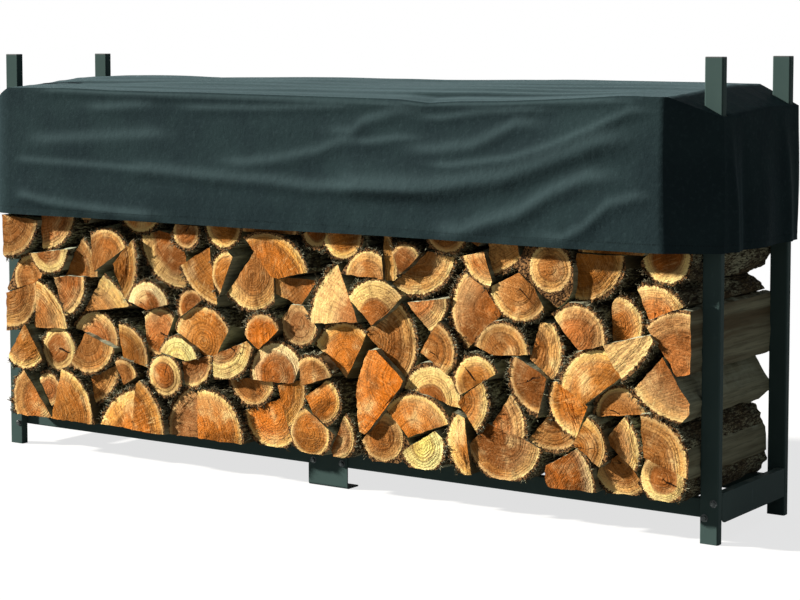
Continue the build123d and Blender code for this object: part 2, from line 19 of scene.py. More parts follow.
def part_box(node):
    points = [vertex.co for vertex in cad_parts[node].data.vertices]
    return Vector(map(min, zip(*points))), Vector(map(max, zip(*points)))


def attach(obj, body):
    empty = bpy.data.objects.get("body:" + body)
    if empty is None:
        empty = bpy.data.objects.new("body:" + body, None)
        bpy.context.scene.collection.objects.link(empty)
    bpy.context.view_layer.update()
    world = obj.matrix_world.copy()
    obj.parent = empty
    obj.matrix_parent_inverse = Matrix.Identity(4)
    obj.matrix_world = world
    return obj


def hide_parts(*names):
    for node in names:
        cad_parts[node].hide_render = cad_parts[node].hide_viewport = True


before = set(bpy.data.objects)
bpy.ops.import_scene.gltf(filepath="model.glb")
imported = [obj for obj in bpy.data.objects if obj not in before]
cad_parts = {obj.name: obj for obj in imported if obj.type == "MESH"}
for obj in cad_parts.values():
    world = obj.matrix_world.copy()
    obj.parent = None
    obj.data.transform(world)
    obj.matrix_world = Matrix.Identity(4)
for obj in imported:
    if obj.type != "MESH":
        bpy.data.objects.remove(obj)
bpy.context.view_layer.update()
LOG = logging.getLogger("log_store")
BODY = "root"

Colour = tuple[float, float, float, float]
Triple = tuple[float, float, float]
Socket = bpy.types.NodeSocket
MeshPart = bmesh.types.BMEdge | bmesh.types.BMFace
WHITE: Colour = (1.0, 1.0, 1.0, 1.0)
# Least share of a direction along an axis that counts as facing that way.
FACING = 0.9


def tint(red: int, green: int, blue: int) -> Colour:
    """Turn a screen colour, 0 to 255 a channel, into a shader's linear colour.

    Args:
        red: Red channel.
        green: Green channel.
        blue: Blue channel.

    Returns:
        The linear colour with full alpha.
    """
    channels = [value / 255 for value in (red, green, blue)]
    linear = [c / 12.92 if c <= 0.04045 else ((c + 0.055) / 1.055) ** 2.4 for c in channels]
    return (linear[0], linear[1], linear[2], 1.0)


class Tone(Enum):
    """Wood tones of the log ends: heart colour, sapwood colour and the heart's share of the radius."""

    TAN = (tint(182, 128, 66), tint(222, 176, 108), 0.62)
    HONEY = (tint(194, 134, 58), tint(234, 188, 110), 0.7)
    ORANGE = (tint(206, 134, 48), tint(232, 176, 92), 0.74)
    DEEP = (tint(214, 132, 34), tint(228, 160, 62), 0.85)
    PALE = (tint(244, 228, 142), tint(250, 240, 166), 0.5)
    WHITE_RIM = (tint(160, 100, 42), tint(246, 222, 174), 0.56)
    CREAM = (tint(164, 106, 48), tint(244, 214, 146), 0.5)
    GREY = (tint(176, 128, 78), tint(222, 182, 126), 0.7)
    PINK = (tint(196, 134, 74), tint(236, 192, 130), 0.6)
    BROWN = (tint(152, 98, 46), tint(202, 150, 84), 0.72)


class Surface(IntEnum):
    """A log's kinds of surface, numbered as its material slots."""

    END = 0
    BARK = 1
    SPLIT = 2


class Pick(Enum):
    """What a test picks from an open mesh."""

    EDGES = "edges"
    FACES = "faces"


class Detail(Enum):
    """How finely a course is cut: outline step on bark, on split faces, cuts along, rings on ends."""

    SHOWN = (0.006, 0.012, 27, 4)
    HIDDEN = (0.02, 0.05, 7, 1)


class Graph:
    """Lays and joins the shader nodes of one node tree."""

    def __init__(self, tree: bpy.types.NodeTree) -> None:
        """Keep the tree that the nodes go in."""
        self.tree = tree

    def feed(self, socket: Socket, value: object) -> None:
        """Link a socket to another, or set its own value.

        Args:
            socket: The socket that is fed.
            value: An output socket, or a plain value.
        """
        if isinstance(value, bpy.types.NodeSocket):
            self.tree.links.new(value, socket)
        else:
            socket.default_value = value

    def fill(self, node: bpy.types.Node, inputs: dict) -> None:
        """Feed several inputs of one node."""
        for key, value in inputs.items():
            self.feed(node.inputs[key], value)

    def add(self, kind: str, inputs: dict | None = None, **settings: object) -> bpy.types.Node:
        """Lay one node.

        Args:
            kind: Node type, without its shader prefix.
            inputs: Values or sockets for its inputs, by name or number.
            settings: The node's own settings.

        Returns:
            The new node.
        """
        node = self.tree.nodes.new("ShaderNode" + kind)
        for name, value in settings.items():
            setattr(node, name, value)
        self.fill(node, inputs or {})
        return node

    def sums(self, operation: str, first: object, second: object = 0.0) -> Socket:
        """Work one sum on two values."""
        return self.add("Math", {0: first, 1: second}, operation=operation).outputs[0]

    def times(self, first: object, second: object) -> Socket:
        """Multiply two values."""
        return self.sums("MULTIPLY", first, second)

    def plus(self, first: object, second: object) -> Socket:
        """Add two values."""
        return self.sums("ADD", first, second)

    def less(self, first: object, second: object) -> Socket:
        """Take the second value from the first."""
        return self.sums("SUBTRACT", first, second)

    def over(self, first: object, second: object) -> Socket:
        """Divide the first value by the second."""
        return self.sums("DIVIDE", first, second)

    def distance(self, across: Socket, up: Socket) -> Socket:
        """Work out a distance from its two legs."""
        return self.sums("SQRT", self.plus(self.times(across, across), self.times(up, up)))

    def seen(self) -> Socket:
        """Tell the rays that show the studio from those that only light it.

        Returns:
            1 on rays from the camera, in reflections and through clear parts, or else 0.
        """
        rays = self.add("LightPath").outputs
        relayed = self.sums("MAXIMUM", rays["Is Glossy Ray"], rays["Is Transmission Ray"])
        return self.sums("MAXIMUM", rays["Is Camera Ray"], relayed)

    def mix(self, share: object, low: object, high: object, way: str = "MIX") -> Socket:
        """Mix two colours; the share is how much of the second."""
        inputs = {0: share, 6: low, 7: high}
        return self.add("Mix", inputs, data_type="RGBA", blend_type=way).outputs[2]

    def step(self, value: object, start: object, end: object) -> Socket:
        """Rise smoothly from 0 at start to 1 at end, which lies below start for a fall."""
        node = self.add("MapRange", {0: value, 1: start, 2: end}, interpolation_type="SMOOTHSTEP")
        return node.outputs[0]

    def span(self, value: object, low: float, high: float) -> Socket:
        """Stretch a share from 0 to 1 onto low to high."""
        return self.add("MapRange", {0: value, 3: low, 4: high}).outputs[0]

    def noise(self, place: object, scale: object, detail: float = 2.0, rough: float = 0.5) -> Socket:
        """Cloudy noise in space, about 0 to 1; the scale is in lumps to the metre."""
        inputs = {"Vector": place, "Scale": scale, "Detail": detail, "Roughness": rough}
        return self.add("TexNoise", inputs).outputs[0]

    def place(self, scale: Triple = (1.0, 1.0, 1.0)) -> Socket:
        """Give the place on the piece.

        Args:
            scale: Stretch along each axis.

        Returns:
            The place in metres, stretched.
        """
        here = self.add("TexCoord").outputs["Object"]
        if scale == (1.0, 1.0, 1.0):
            return here
        return self.add("Mapping", {"Vector": here, "Scale": scale}).outputs[0]

    def attribute(self, name: str, output: str = "Vector") -> Socket:
        """Read a value that is kept on the mesh."""
        return self.add("Attribute", attribute_name=name).outputs[output]

    def parts(self, vector: Socket) -> list[Socket]:
        """Split a vector into its three numbers."""
        return list(self.add("SeparateXYZ", {0: vector}).outputs)

    def group(self, tree: bpy.types.NodeTree, **inputs: object) -> bpy.types.Node:
        """Place a shared effect.

        Args:
            tree: The effect's node group.
            inputs: Its values, by name.

        Returns:
            The group's node.
        """
        node = self.tree.nodes.new("ShaderNodeGroup")
        node.node_tree = tree
        self.fill(node, inputs)
        return node

    def bump(self, height: object, strength: float, depth: float, normal: Socket | None = None) -> Socket:
        """Turn a height into a normal.

        Args:
            height: Height, about 0 to 1.
            strength: Strength of the bump.
            depth: Depth of the bump in metres.
            normal: A bump under this one.

        Returns:
            The normal.
        """
        node = self.add("Bump", {"Height": height, "Strength": strength, "Distance": depth})
        if normal is not None:
            self.feed(node.inputs["Normal"], normal)
        return node.outputs[0]


def new_finish(name: str) -> tuple[bpy.types.Material, Graph, bpy.types.Node]:
    """Start a material with its main shader.

    Args:
        name: Material name.

    Returns:
        The material, its graph and its main shader node.
    """
    material = bpy.data.materials.new(name)
    material.use_nodes = True
    graph = Graph(material.node_tree)
    return material, graph, material.node_tree.nodes["Principled BSDF"]


class Effects:
    """Effects that several finishes share, each one node group."""

    def __init__(self) -> None:
        """Build every shared effect once."""
        self.fibres = self._fibres()
        self.flecks = self._flecks()
        self.dust = self._dust()
        self.mottle = self._mottle()

    @staticmethod
    def _start(name: str, takes: dict[str, float], gives: tuple[str, ...]) -> tuple[Graph, list, list]:
        """Open a node group with plain number sockets.

        Args:
            name: Group name.
            takes: Inputs and their first values.
            gives: Output names.

        Returns:
            The graph, the group's inputs and the sockets that its outputs are fed through.
        """
        tree = bpy.data.node_groups.new(name, "ShaderNodeTree")
        for label, value in takes.items():
            socket = tree.interface.new_socket(name=label, in_out="INPUT", socket_type="NodeSocketFloat")
            socket.default_value = value
        for label in gives:
            tree.interface.new_socket(name=label, in_out="OUTPUT", socket_type="NodeSocketFloat")
        inner = tree.nodes.new("NodeGroupInput")
        outer = tree.nodes.new("NodeGroupOutput")
        return Graph(tree), list(inner.outputs), list(outer.inputs)

    def _fibres(self) -> bpy.types.NodeTree:
        """Streaks that run along the grain, Y.

        Returns:
            The effect's node group.
        """
        first = {"Across": 110.0, "Along": 6.0}
        graph, takes, gives = self._start("wood_fibres", first, ("Streak", "Band"))
        x, y, z = graph.parts(graph.place())
        along = graph.times(y, takes[1])
        fine = graph.add("CombineXYZ", {
            0: graph.times(x, takes[0]), 1: along, 2: graph.times(z, takes[0]),
        }).outputs[0]
        graph.feed(gives[0], graph.noise(fine, 1.0, 3.0, 0.6))
        graph.feed(gives[1], graph.noise(fine, 0.22, 2.0, 0.5))
        return graph.tree

    def _flecks(self) -> bpy.types.NodeTree:
        """Small pale flecks, thick in patches.

        Returns:
            The effect's node group.
        """
        graph, takes, gives = self._start("pale_flecks", {"Scale": 120.0, "Cover": 0.5}, ("Mask",))
        spots = graph.noise(graph.place((1.0, 0.55, 1.0)), takes[0], 3.0, 0.65)
        patch = graph.noise(graph.place(), 11.0, 2.0)
        bar = graph.less(1.06, graph.times(takes[1], patch))
        graph.feed(gives[0], graph.step(spots, graph.less(bar, 0.24), bar))
        return graph.tree

    def _dust(self) -> bpy.types.NodeTree:
        """Dust that settles on what faces up.

        Returns:
            The effect's node group.
        """
        graph, takes, gives = self._start("settled_dust", {"Amount": 0.5}, ("Mask",))
        up = graph.parts(graph.add("NewGeometry").outputs["Normal"])[2]
        drift = graph.noise(graph.place(), 26.0, 4.0, 0.6)
        mask = graph.times(graph.step(up, 0.25, 1.0), graph.step(drift, 0.35, 0.7))
        graph.feed(gives[0], graph.times(mask, takes[0]))
        return graph.tree

    def _mottle(self) -> bpy.types.NodeTree:
        """Uneven tone: broad clouds and a fine tooth.

        Returns:
            The effect's node group.
        """
        graph, takes, gives = self._start("uneven_tone", {"Broad": 5.0, "Fine": 400.0}, ("Cloud", "Tooth"))
        graph.feed(gives[0], graph.noise(graph.place(), takes[0], 4.0, 0.6))
        graph.feed(gives[1], graph.noise(graph.place(), takes[1], 2.0))
        return graph.tree


@dataclass(frozen=True)
class SteelFinish:
    """Satin powder coat on the tubes and plates, dusty on top and rubbed in places."""

    coat: Colour = tint(56, 73, 71)
    worn: Colour = tint(84, 102, 99)
    dust: Colour = tint(128, 134, 126)
    roughness: tuple[float, float] = (0.36, 0.52)
    specular: float = 0.012

    def material(self, effects: Effects) -> bpy.types.Material:
        """Build the coat's material.

        Args:
            effects: Shared effects.

        Returns:
            The material.
        """
        material, graph, shader = new_finish("steel_coat")
        tone = graph.group(effects.mottle, Broad=7.0, Fine=620.0).outputs
        dust = graph.group(effects.dust, Amount=0.5).outputs[0]
        scuff = graph.noise(graph.place((1.0, 1.0, 0.25)), 60.0, 4.0, 0.7)
        worn = graph.times(graph.step(scuff, 0.6, 0.74), graph.step(tone[0], 0.45, 0.65))
        shade = graph.mix(graph.span(tone[0], 0.0, 0.35), self.coat, self.worn)
        rubbed = graph.mix(graph.times(worn, 0.5), shade, self.worn)
        graph.fill(shader, {
            "Base Color": graph.mix(dust, rubbed, self.dust),
            "Roughness": graph.span(tone[0], *self.roughness),
            "Normal": graph.bump(tone[1], 0.12, 0.0004),
            "Specular IOR Level": self.specular,
        })
        return material


@dataclass(frozen=True)
class CapFinish:
    """Moulded plastic of the post caps."""

    body: Colour = tint(34, 40, 40)
    bloom: Colour = tint(64, 72, 72)

    def material(self, effects: Effects) -> bpy.types.Material:
        """Build the plastic's material.

        Args:
            effects: Shared effects.

        Returns:
            The material.
        """
        material, graph, shader = new_finish("cap_plastic")
        tone = graph.group(effects.mottle, Broad=60.0, Fine=1500.0).outputs
        dust = graph.group(effects.dust, Amount=0.6).outputs[0]
        shade = graph.mix(graph.span(tone[0], 0.0, 0.6), self.body, self.bloom)
        graph.fill(shader, {
            "Base Color": graph.mix(dust, shade, self.bloom),
            "Roughness": graph.span(tone[0], 0.5, 0.7),
            "Normal": graph.bump(tone[1], 0.2, 0.0003),
        })
        return material


@dataclass(frozen=True)
class CoverFinish:
    """Coated woven cloth: plain weave, sewn hem and edge seams, fine pale specks, a painted highlight along
    the crests of its folds and creases, and a lighter up-facing lid that is partly faded cloth and partly
    painted sky glare.
    """

    cloth: Colour = tint(39, 53, 55)
    deep: Colour = tint(34, 46, 49)
    # Pale colour for the fine specks and for the painted highlight on fold and crease crests.
    chalk_and_highlight: Colour = tint(72, 90, 93)
    # Lighter lid tone: partly faded cloth, partly painted sky glare on the up-facing top.
    bloom: Colour = tint(90, 110, 115)
    thread: Colour = tint(27, 35, 36)
    weave: float = 620.0
    stitch_pitch: float = 0.007
    specular: float = 0.003

    def material(self, effects: Effects) -> bpy.types.Material:
        """Build the cloth's material; it reads the sheet's own map of metres along and down.

        Args:
            effects: Shared effects.

        Returns:
            The material.
        """
        material, graph, shader = new_finish("cover_cloth")
        flat = graph.add("UVMap", uv_map="cloth").outputs[0]
        along, down, _ = graph.parts(flat)
        warp = graph.sums("SINE", graph.times(along, self.weave * math.pi))
        weft = graph.sums("SINE", graph.times(down, self.weave * math.pi))
        weave = graph.times(warp, weft)
        tone = graph.group(effects.mottle, Broad=6.0, Fine=90.0).outputs
        up = graph.parts(graph.add("NewGeometry").outputs["Normal"])[2]
        streak = graph.noise(graph.place((0.25, 2.0, 1.0)), 9.0, 3.0, 0.55)
        # Up-facing lid lighter in streaks: partly faded cloth, partly painted sky glare.
        lid_fading_and_glare = graph.times(graph.step(up, 0.91, 1.0), graph.span(streak, 0.35, 0.8))
        seam = graph.attribute("seam", "Fac")
        crest = graph.attribute("crest", "Fac")
        stitches = graph.sums("FRACT", graph.over(along, self.stitch_pitch))
        dashes = graph.sums("GREATER_THAN", stitches, 0.35)
        stitch = graph.times(graph.step(seam, 0.55, 0.9), dashes)
        body = graph.mix(graph.step(tone[0], 0.35, 0.7), self.deep, self.cloth)
        # Painted highlight along the crests of the front folds and the lid creases.
        body = graph.mix(graph.times(crest, 0.42), body, self.chalk_and_highlight)
        body = graph.mix(graph.times(graph.step(tone[1], 0.5, 0.8), 0.12), body, self.chalk_and_highlight)
        body = graph.mix(lid_fading_and_glare, body, self.bloom)
        sewn = graph.mix(graph.times(stitch, 0.6), body, self.thread)
        crinkle = graph.noise(graph.place(), 42.0, 6.0, 0.66)
        soft = graph.bump(crinkle, 0.4, 0.006)
        graph.fill(shader, {
            "Base Color": sewn,
            "Roughness": graph.span(tone[0], 0.5, 0.66),
            "Normal": graph.bump(weave, 0.1, 0.0003, soft),
            "Specular IOR Level": self.specular,
        })
        return material


@dataclass(frozen=True)
class EndPlace:
    """A place on a sawn end, measured from its log's pith, with that log's own quirks."""

    here: Socket
    x: Socket
    z: Socket
    wander: Socket
    reach: Socket
    out: Socket
    share: Socket
    turn: Socket
    radius: Socket
    seed: Socket
    heart_share: Socket
    cracked: Socket


@dataclass(frozen=True)
class EndGrainFinish:
    """Sawn log ends: growth rings round the pith, heart and sapwood, cracks and a bark rim."""

    ring_width: float = 0.0072
    ring_wander: float = 0.018
    bark_rim: float = 0.010
    fresh_rim: float = 0.012
    crack_width: float = 0.005
    heart_edge: float = 0.07
    contrast: float = 0.34
    specular: float = 0.06
    bark: Colour = tint(158, 122, 80)
    crack: Colour = tint(36, 21, 9)
    stain: Colour = tint(104, 57, 8)
    sawn: Colour = tint(255, 230, 172)
    flush: Colour = tint(222, 134, 36)

    def material(self) -> bpy.types.Material:
        """Build the end grain; each log's pith, tones and quirks are kept on its mesh.

        Returns:
            The material.
        """
        material, graph, shader = new_finish("end_grain")
        at = self._find(graph)
        late, rays, saw = self._rings(graph, at), self._rays(graph, at), self._saw(graph, at)
        blotch = graph.noise(at.here, 13.0, 3.0, 0.55)
        fuzz = graph.noise(at.here, 165.0, 3.0, 0.7)
        marks = {"late": late, "rays": rays, "saw": saw, "blotch": blotch, "fuzz": fuzz}
        wood = self._tinted(graph, at, marks)
        crack = self._crack(graph, at)
        wood = graph.mix(crack, self._shaded(graph, at, wood), self.crack)
        wood = self._rim(graph, at, wood, rays, fuzz)
        relief = graph.plus(graph.times(saw, 0.45), graph.times(fuzz, 0.6))
        relief = graph.less(relief, graph.plus(graph.times(late, 0.3), crack))
        graph.fill(shader, {
            "Base Color": graph.mix(self.contrast, wood, wood, "OVERLAY"),
            "Roughness": graph.span(blotch, 0.75, 0.92),
            "Normal": graph.bump(relief, 0.9, 0.005),
            "Specular IOR Level": self.specular,
        })
        return material

    def _find(self, graph: Graph) -> EndPlace:
        """Measure a place from its log's pith.

        Args:
            graph: The material's graph.

        Returns:
            The place.
        """
        here = graph.place()
        x, _, z = graph.parts(here)
        pith_x, pith_z, radius = graph.parts(graph.attribute("pith"))
        seed, heart_share, cracked = graph.parts(graph.attribute("quirk"))
        wander = graph.less(graph.noise(here, 17.0, 3.0), 0.5)
        across, up = graph.less(x, pith_x), graph.less(z, pith_z)
        reach = graph.distance(across, up)
        out = graph.plus(reach, graph.times(wander, self.ring_wander))
        share, turn = graph.over(out, radius), graph.sums("ARCTAN2", up, across)
        return EndPlace(here, x, z, wander, reach, out, share, turn, radius, seed, heart_share, cracked)

    def _rings(self, graph: Graph, at: EndPlace) -> Socket:
        """Dark late wood at the outside of each year's ring, the years uneven.

        Args:
            graph: The material's graph.
            at: The place.

        Returns:
            How dark the ring is.
        """
        years = graph.over(at.out, graph.times(self.ring_width, graph.span(at.seed, 0.7, 1.5)))
        lane = graph.plus(graph.times(years, 0.4), graph.times(at.seed, 77.0))
        inputs = {"W": lane, "Scale": 1.0, "Detail": 2.0}
        uneven = graph.add("TexNoise", inputs, noise_dimensions="1D").outputs[0]
        count = graph.plus(years, graph.times(uneven, 1.8))
        late = graph.sums("POWER", graph.sums("FRACT", count), 2.2)
        return graph.times(late, graph.step(uneven, 0.2, 0.6))

    @staticmethod
    def _rays(graph: Graph, at: EndPlace) -> Socket:
        """Streaks that run out from the pith.

        Args:
            graph: The material's graph.
            at: The place.

        Returns:
            The streaks, about 0 to 1.
        """
        place = graph.add("CombineXYZ", {
            0: graph.times(graph.sums("COSINE", at.turn), 21.0),
            1: graph.times(graph.sums("SINE", at.turn), 21.0),
            2: graph.plus(graph.times(at.reach, 30.0), graph.times(at.seed, 40.0)),
        })
        return graph.noise(place.outputs[0], 1.0, 4.0, 0.7)

    @staticmethod
    def _saw(graph: Graph, at: EndPlace) -> Socket:
        """Marks of the saw, straight across each end.

        Args:
            graph: The material's graph.
            at: The place.

        Returns:
            The marks, about 0 to 1.
        """
        cut = graph.times(at.seed, 9.0)
        lean, rise = graph.sums("COSINE", cut), graph.sums("SINE", cut)
        place = graph.add("CombineXYZ", {
            0: graph.times(graph.plus(graph.times(at.x, lean), graph.times(at.z, rise)), 210.0),
            1: graph.times(graph.less(graph.times(at.z, lean), graph.times(at.x, rise)), 22.0),
            2: graph.times(at.seed, 30.0),
        })
        return graph.noise(place.outputs[0], 1.0, 3.0, 0.6)

    def _tinted(self, graph: Graph, at: EndPlace, marks: dict[str, Socket]) -> Socket:
        """Lay heart and sapwood, and tinge them by rings, rays, saw marks and stains.

        Args:
            graph: The material's graph.
            at: The place.
            marks: Rings, rays, saw marks, blotches and fuzz, by name.

        Returns:
            The wood's colour.
        """
        blotch, rays, saw, fuzz = marks["blotch"], marks["rays"], marks["saw"], marks["fuzz"]
        blurred = graph.plus(at.share, graph.times(graph.less(blotch, 0.5), 0.34))
        outer = graph.plus(at.heart_share, self.heart_edge)
        inner = graph.less(at.heart_share, self.heart_edge)
        heart = graph.step(blurred, outer, inner)
        wood = graph.mix(heart, graph.attribute("sap", "Color"), graph.attribute("heart", "Color"))
        border = graph.times(graph.times(heart, graph.less(1.0, heart)), 2.6)
        sapward = graph.step(at.share, 0.3, 0.9)
        tints = (
            (self.flush, graph.step(graph.noise(at.here, 8.0, 2.0), 0.5, 0.7), 0.42),
            (self.stain, border, 0.62),
            (self.stain, graph.step(blotch, 0.5, 0.72), 0.62),
            (self.sawn, graph.step(blotch, 0.48, 0.25), 0.66),
            (self.stain, marks["late"], 0.58),
            (self.stain, graph.step(saw, 0.52, 0.72), 0.46),
            (self.sawn, graph.step(saw, 0.46, 0.25), 0.22),
            (self.stain, graph.step(rays, 0.53, 0.74), graph.span(sapward, 0.2, 0.8)),
            (self.sawn, graph.step(rays, 0.47, 0.26), graph.span(sapward, 0.12, 0.7)),
            (self.stain, graph.step(fuzz, 0.52, 0.72), 0.5),
            (self.sawn, graph.step(fuzz, 0.48, 0.2), 0.2),
        )
        for tinge, mask, strength in tints:
            wood = graph.mix(graph.times(mask, strength), wood, tinge)
        return wood

    def _shaded(self, graph: Graph, at: EndPlace, wood: Socket) -> Socket:
        """Weather each end as a whole, and darken one side of it.

        Args:
            graph: The material's graph.
            at: The place.
            wood: The wood's colour so far.

        Returns:
            The weathered colour.
        """
        weathered = graph.sums("FRACT", graph.times(at.seed, 7.3))
        wood = graph.mix(graph.times(weathered, 0.16), wood, self.stain)
        side = graph.sums("COSINE", graph.less(at.turn, graph.times(at.seed, 91.0)))
        toward = graph.times(side, at.share)
        wood = graph.mix(graph.times(graph.step(toward, -0.2, 1.0), 0.5), wood, self.stain)
        return graph.mix(graph.times(graph.step(toward, -0.2, -1.0), 0.3), wood, self.sawn)

    def _crack(self, graph: Graph, at: EndPlace) -> Socket:
        """Open a drying crack from the pith, on one side of the log.

        Args:
            graph: The material's graph.
            at: The place.

        Returns:
            1 in the crack, 0 beside it.
        """
        cell = graph.times(graph.plus(at.turn, graph.times(at.wander, 1.4)), 0.9)
        inputs = {"W": graph.plus(cell, graph.times(at.seed, 63.0)), "Scale": 1.0}
        split = graph.add("TexVoronoi", inputs, voronoi_dimensions="1D", feature="DISTANCE_TO_EDGE")
        gap = graph.times(split.outputs["Distance"], graph.over(at.reach, 0.9))
        gap = graph.plus(gap, graph.times(graph.noise(at.here, 120.0, 1.0), 0.0012))
        aside = graph.sums("COSINE", graph.less(at.turn, graph.times(at.seed, 40.0)))
        width = graph.times(graph.step(aside, 0.85, 0.98), self.crack_width)
        open_by = graph.times(at.cracked, graph.times(graph.step(at.share, 1.0, 0.2), width))
        return graph.step(gap, open_by, graph.times(open_by, 0.35))

    def _rim(self, graph: Graph, at: EndPlace, wood: Socket, rays: Socket, fuzz: Socket) -> Socket:
        """Lay the torn rim of bark round the wood, with a fresh pale line inside it.

        Args:
            graph: The material's graph.
            at: The place.
            wood: The wood's colour so far.
            rays: Streaks out from the pith.
            fuzz: Fine fuzz.

        Returns:
            The end's colour.
        """
        torn = graph.plus(graph.times(rays, 0.6), graph.times(fuzz, 0.4))
        edge = graph.plus(at.reach, graph.times(graph.less(torn, 0.5), 0.03))
        rim_at = graph.less(at.radius, self.bark_rim)
        fresh = graph.step(edge, graph.less(rim_at, self.fresh_rim), rim_at)
        wood = graph.mix(graph.times(fresh, 0.4), wood, self.sawn)
        rim = graph.step(edge, rim_at, graph.plus(rim_at, 0.002))
        rind = graph.mix(graph.step(fuzz, 0.42, 0.6), self.crack, self.bark)
        return graph.mix(rim, wood, rind)


@dataclass(frozen=True)
class BarkFinish:
    """Furrowed bark with pale grey-green flecks."""

    furrow: Colour = tint(32, 25, 16)
    ridge: Colour = tint(106, 92, 66)
    fleck: Colour = tint(176, 178, 148)
    specular: float = 0.08

    def material(self, effects: Effects) -> bpy.types.Material:
        """Build the bark's material.

        Args:
            effects: Shared effects.

        Returns:
            The material.
        """
        material, graph, shader = new_finish("bark")
        drawn_out = graph.place((1.0, 0.3, 1.0))
        cells = graph.add("TexVoronoi", {"Vector": drawn_out, "Scale": 165.0}, feature="F1")
        fibre = graph.group(effects.fibres, Across=170.0, Along=34.0).outputs
        ridges = graph.times(graph.step(cells.outputs["Distance"], 0.75, 0.1), 0.35)
        height = graph.plus(ridges, graph.times(fibre[0], 0.85))
        flecks = graph.group(effects.flecks, Scale=340.0, Cover=0.85).outputs[0]
        shade = graph.mix(graph.step(height, 0.3, 0.9), self.furrow, self.ridge)
        lit = graph.times(flecks, graph.step(height, 0.35, 0.7))
        graph.fill(shader, {
            "Base Color": graph.mix(graph.times(lit, 0.85), shade, self.fleck),
            "Normal": graph.bump(height, 0.9, 0.006),
            "Roughness": 0.92,
            "Specular IOR Level": self.specular,
        })
        return material


@dataclass(frozen=True)
class SplitFinish:
    """Split faces: fibrous, weathered pale with green-grey and brown bands."""

    pale: Colour = tint(142, 146, 122)
    brown: Colour = tint(66, 62, 48)
    fleck: Colour = tint(200, 206, 178)
    specular: float = 0.08

    def material(self, effects: Effects) -> bpy.types.Material:
        """Build the split face's material.

        Args:
            effects: Shared effects.

        Returns:
            The material.
        """
        material, graph, shader = new_finish("split_wood")
        fibre = graph.group(effects.fibres, Across=150.0, Along=5.0).outputs
        seed, _, _ = graph.parts(graph.attribute("quirk"))
        band = graph.plus(fibre[1], graph.times(graph.less(seed, 0.5), 0.45))
        wood = graph.mix(graph.step(band, 0.3, 0.72), self.brown, self.pale)
        wood = graph.mix(0.06, wood, graph.attribute("sap", "Color"))
        wood = graph.mix(graph.times(graph.step(fibre[0], 0.42, 0.7), 0.55), wood, self.brown)
        dust = graph.group(effects.dust, Amount=0.85).outputs[0]
        graph.fill(shader, {
            "Base Color": graph.mix(dust, wood, self.fleck),
            "Normal": graph.bump(fibre[0], 0.7, 0.003),
            "Roughness": 0.85,
            "Specular IOR Level": self.specular,
        })
        return material


@dataclass(frozen=True)
class BoltFinish:
    """Blackened bolts with bright rubbed edges."""

    black: Colour = tint(44, 50, 50)
    bright: Colour = tint(120, 126, 124)
    metal: float = 0.6

    def material(self, effects: Effects) -> bpy.types.Material:
        """Build the bolts' material.

        Args:
            effects: Shared effects.

        Returns:
            The material.
        """
        material, graph, shader = new_finish("bolt_black")
        tone = graph.group(effects.mottle, Broad=180.0, Fine=1400.0).outputs
        rubbed = graph.step(tone[0], 0.5, 0.75)
        graph.fill(shader, {
            "Base Color": graph.mix(rubbed, self.black, self.bright),
            "Roughness": graph.span(tone[0], 0.3, 0.5),
            "Normal": graph.bump(tone[1], 0.1, 0.0003),
            "Metallic": self.metal,
        })
        return material


def deselect() -> None:
    """Leave object mode with nothing selected."""
    if bpy.context.mode != "OBJECT":
        bpy.ops.object.mode_set(mode="OBJECT")
    bpy.ops.object.select_all(action="DESELECT")


def take(piece: bpy.types.Object) -> None:
    """Select one piece alone and make it active.

    Args:
        piece: The piece.
    """
    deselect()
    piece.select_set(True)
    bpy.context.view_layer.objects.active = piece


def edit(piece: bpy.types.Object) -> None:
    """Open one piece in edit mode, by its edges, with nothing picked.

    Args:
        piece: The piece.
    """
    take(piece)
    bpy.ops.object.mode_set(mode="EDIT")
    bpy.ops.mesh.select_mode(type="EDGE")
    bpy.ops.mesh.select_all(action="DESELECT")


def pick(piece: bpy.types.Object, kind: Pick, test: Callable[[MeshPart], bool]) -> None:
    """Pick the edges or faces of the open piece that pass a test, and nothing else.

    Args:
        piece: The piece in edit mode.
        kind: Edges or faces.
        test: What each of them has to pass.
    """
    bpy.ops.mesh.select_all(action="DESELECT")
    net = bmesh.from_edit_mesh(piece.data)
    for part in [part for part in getattr(net, kind.value) if test(part)]:
        part.select_set(True)
    bmesh.update_edit_mesh(piece.data)


def add_piece(name: str, data: bpy.types.ID) -> bpy.types.Object:
    """Put a new object in the scene.

    Args:
        name: Its name.
        data: Its mesh, lamp or camera.

    Returns:
        The object.
    """
    piece = bpy.data.objects.new(name, data)
    bpy.context.scene.collection.objects.link(piece)
    return piece


def apply_modifiers(piece: bpy.types.Object) -> None:
    """Apply every modifier of a piece to its mesh.

    Args:
        piece: The piece.
    """
    take(piece)
    for modifier in list(piece.modifiers):
        bpy.ops.object.modifier_apply(modifier=modifier.name)


def settle_piece(piece: bpy.types.Object) -> None:
    """Give a finished piece its body, and report it.

    Args:
        piece: The piece.
    """
    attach(piece, BODY)
    LOG.info("%s: %d faces", piece.name, len(piece.data.polygons))


def smooth(value: float) -> float:
    """Ease a share in and out, held at 0 and at 1 beyond them."""
    share = min(1.0, max(0.0, value))
    return share * share * (3 - 2 * share)


def ripple(*place: float) -> float:
    """Read smooth noise at one place."""
    return noise.noise(Vector(place))


@dataclass(frozen=True)
class MarkedEnd:
    """A log end that stands out: its place on the front and its tone."""

    across: float
    up: float
    tone: Tone
    heart: float | None = None
    crack: float = 0.3


